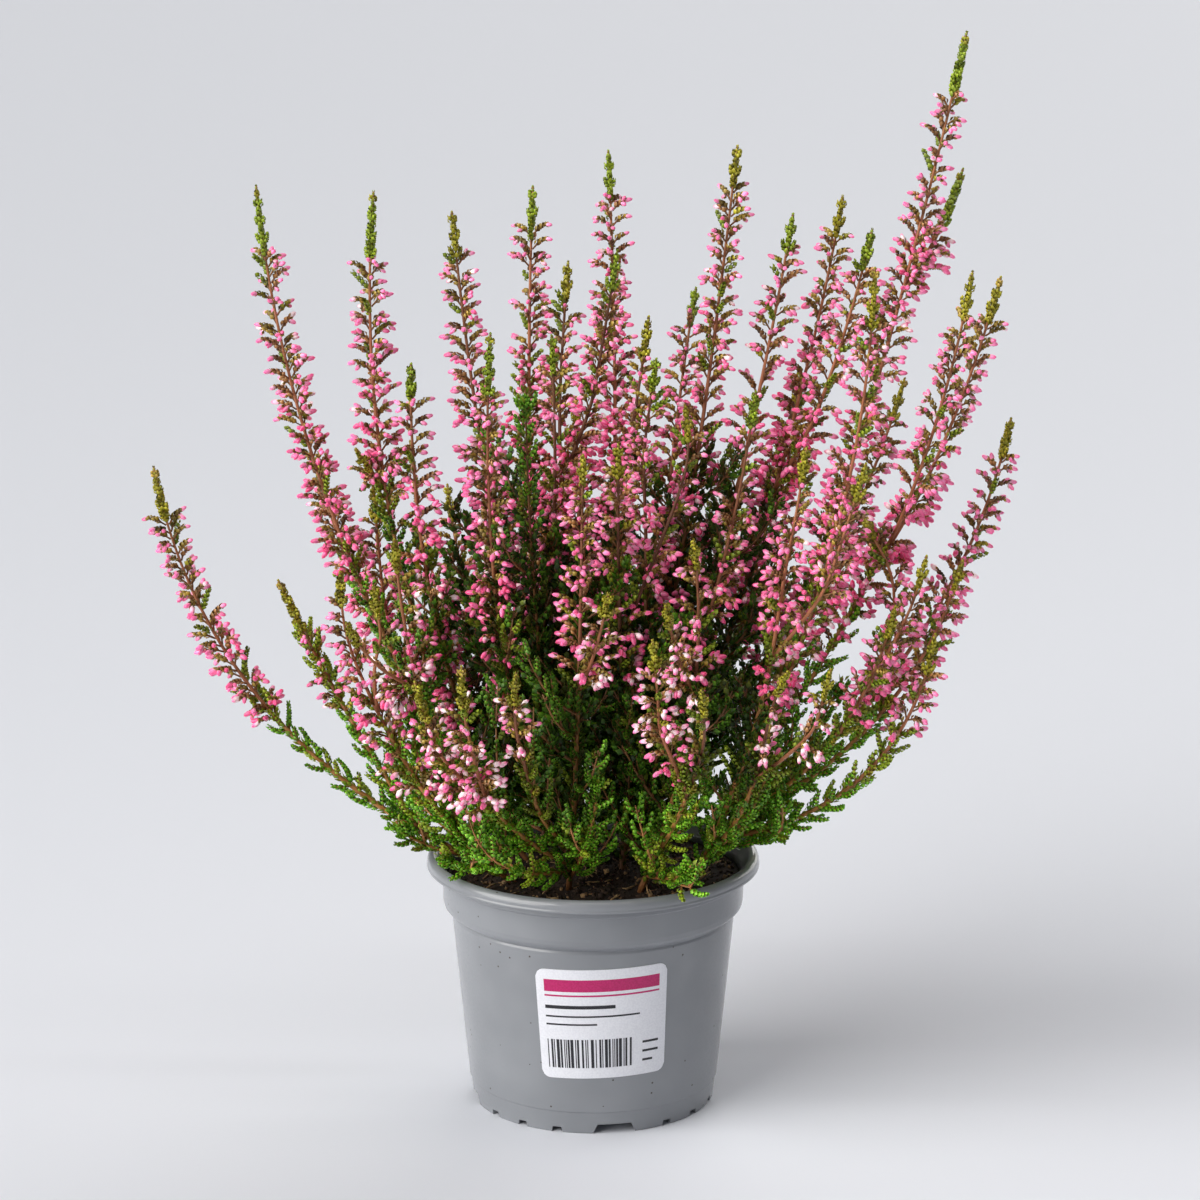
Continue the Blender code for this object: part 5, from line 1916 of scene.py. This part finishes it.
# %% The soil's body
SOIL_TOP = 76.4
SOIL_R = 48.2
SOIL_RINGS = 26
SOIL_STEPS = 96
SOIL_WAVES = ((0.9, 0.31, 0.17, 0.3), (0.7, -0.23, 0.42, 1.9),
              (0.5, 0.71, -0.52, 4.0), (0.35, 1.1, 0.9, 2.2))
WAVE_SHARE = 0.55
MOUND = 5.0
MOUND_SPREAD = 900.0
SOIL_FADE = 6.0
SOIL_GAP = 0.4
SOIL_FLOOR = FLOOR_LOW + FLOOR_THICK + 0.3


def soil_height(x, y):
    """The height of the soil's rough top, highest near the stems."""
    waves = sum(high * math.sin(a * x + b * y + c) for high, a, b, c in SOIL_WAVES)
    mound = MOUND * math.exp(-(x * x + y * y) / MOUND_SPREAD)
    fade = min(max((SOIL_R - math.hypot(x, y)) / SOIL_FADE, 0.0), 1.0)
    return SOIL_TOP + (WAVE_SHARE * waves + mound) * fade


ring_radii = [SOIL_R * k / SOIL_RINGS for k in range(SOIL_RINGS + 1)]
soil_profile = [(r, SOIL_TOP) for r in ring_radii] + [
    (COLLAR_LOW_R - WALL - SOIL_GAP, COLLAR_LOW + 0.4),
    (BODY_TOP_R - WALL - SOIL_GAP, BODY_TOP + 0.4),
    (FOOT_R - WALL - SOIL_GAP, SOIL_FLOOR), (0.0, SOIL_FLOOR)]
soil_mesh = turned_mesh("potting_soil", soil_profile, SOIL_STEPS)
for corner in soil_mesh.vertices:
    if corner.co.z > (SOIL_TOP - 0.1) * MM:
        corner.co.z = soil_height(corner.co.x / MM, corner.co.y / MM) * MM
print("the soil's body has", len(soil_mesh.polygons), "faces")

# %% Put the body in a heap
SOIL_SEED = 77
MOTTLE = (0.5, 0.4)
MOTTLE_TURNS = (0.9, 0.8)
BODY_TONE = 0.2

draw = np.random.default_rng(SOIL_SEED)
loose = Heap()
soil_mesh.calc_loop_triangles()
corners = np.empty(3 * len(soil_mesh.vertices))
soil_mesh.vertices.foreach_get("co", corners)
faces = np.empty(3 * len(soil_mesh.loop_triangles), dtype=np.int32)
soil_mesh.loop_triangles.foreach_get("vertices", faces)
corners = corners.reshape(1, -1, 3) / MM
along = MOTTLE[0] + MOTTLE[1] * np.sin(corners[0, :, 0] * MOTTLE_TURNS[0])
around = MOTTLE[0] + MOTTLE[1] * np.sin(corners[0, :, 1] * MOTTLE_TURNS[1] + corners[0, :, 2])
loose.add(0, corners, faces.reshape(-1, 3), along, around, BODY_TONE, 0.0)
print("the body alone:", len(faces) // 3, "triangles")

# %% Scatter the crumbs
CRUMBS = 2200
CRUMB = Shape(
    corners=np.array([(0, 0, -0.5), (0.5, 0, 0.05), (-0.1, 0.45, 0.1), (-0.45, 0.1, -0.05),
                      (0.05, -0.5, 0), (0.05, 0.02, 0.5)]),
    faces=np.array([(0, 2, 1), (0, 3, 2), (0, 4, 3), (0, 1, 4),
                    (5, 1, 2), (5, 2, 3), (5, 3, 4), (5, 4, 1)]),
    along=np.array([0.0, 0.4, 0.5, 0.45, 0.55, 1.0]),
    around=np.array([0.0, 0.3, 0.7, 1.0, 0.6, 0.5]))
CRUMB_SIZES = (2.2, 0.42)
CRUMB_STRETCH = (0.7, 1.3)
LEAST_CRUMB = 0.5
LARGEST_CRUMB = 3.4
CRUMB_LIFT = [0, 0, 0.1]
BARK_BITS = 0.14
BIT_KINDS = (0.5, 1.0)
CLEAR_EDGE = 1.5


def on_soil(count, draw):
    """Places on the soil's top."""
    reach = (SOIL_R - CLEAR_EDGE) * np.sqrt(draw.random(count))
    turn = draw.uniform(0, math.tau, count)
    x, y = reach * np.cos(turn), reach * np.sin(turn)
    return np.stack([x, y, [soil_height(a, b) for a, b in zip(x, y)]], axis=1)


place = on_soil(CRUMBS, draw)
size = draw.gamma(*CRUMB_SIZES, CRUMBS)[:, None] * draw.uniform(*CRUMB_STRETCH, (CRUMBS, 3)) + LEAST_CRUMB
way = unit(draw.normal(0, 1, (CRUMBS, 3)))
loose.stamp(0, CRUMB, place + CRUMB_LIFT, way, square_to(way, 0.0), np.minimum(size, LARGEST_CRUMB),
            draw.random(CRUMBS), (draw.random(CRUMBS) < BARK_BITS) * draw.uniform(*BIT_KINDS, CRUMBS))
print(CRUMBS, "crumbs")

# %% Lay the fibres
FIBRES = 260
FIBRE_FLAT = [1, 1, 0.18]
FIBRE_LONG = (2.5, 8.0)
FIBRE_BEND = 0.9
FIBRE_LIFTS = ([0, 0, 0.2], [0, 0, 0.5])
FIBRE_R = np.array([0.28, 0.4, 0.36, 0.15])
FIBRE_SIDES = 4
FIBRE_KINDS = (0.6, 1.0)

foot = on_soil(FIBRES, draw)
lie = draw.normal(0, 1, (FIBRES, 3)) * FIBRE_FLAT
far = foot + unit(lie) * draw.uniform(*FIBRE_LONG, FIBRES)[:, None]
inside = np.hypot(far[:, 0], far[:, 1]) < SOIL_R - 1
middle = (foot + far)[inside] / 2 + draw.normal(0, FIBRE_BEND, (inside.sum(), 3))
fibres = Twigs(foot[inside] + FIBRE_LIFTS[0], middle, far[inside] + FIBRE_LIFTS[1])
tubes(loose, 0, fibres.paths(len(FIBRE_R)), FIBRE_R, FIBRE_SIDES, draw.random(inside.sum()),
      draw.uniform(*FIBRE_KINDS, inside.sum()))
print(int(inside.sum()), "fibres,", sum(len(f) for f in loose.faces), "triangles in all")

# %% Peat
peat, _ = plant_finish(
    "dark_peat",
    (((0.0, paint(40, 29, 22)), (0.5, paint(58, 42, 31)), (1.0, paint(74, 55, 41))),
     ((0.0, paint(84, 62, 42)), (0.5, paint(104, 78, 54)), (1.0, paint(122, 92, 64))),
     ((0.0, paint(146, 112, 74)), (0.5, paint(176, 140, 98)), (1.0, paint(196, 164, 120)))),
    (1.0, 0.10, paint(120, 92, 66)), (0.55, 1.3), 0.92, (0.0011, 0.9, 0.0006))
soil_mesh = mesh_from(loose, "potting_soil")
soil_mesh.materials.append(peat)
new_piece("potting_soil", soil_mesh, "soil")
print("peat in three kinds: crumbs, bark bits and pale fibres")

# %% [markdown]
# ## Measure and finish
# Leaves and buds may reach past the solids that they stand for by a few millimetres. The box
# round all drawn pieces is measured. Both boxes are written down, so that they can be compared after each
# render.

# %% Measure the drawn pieces
low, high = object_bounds()
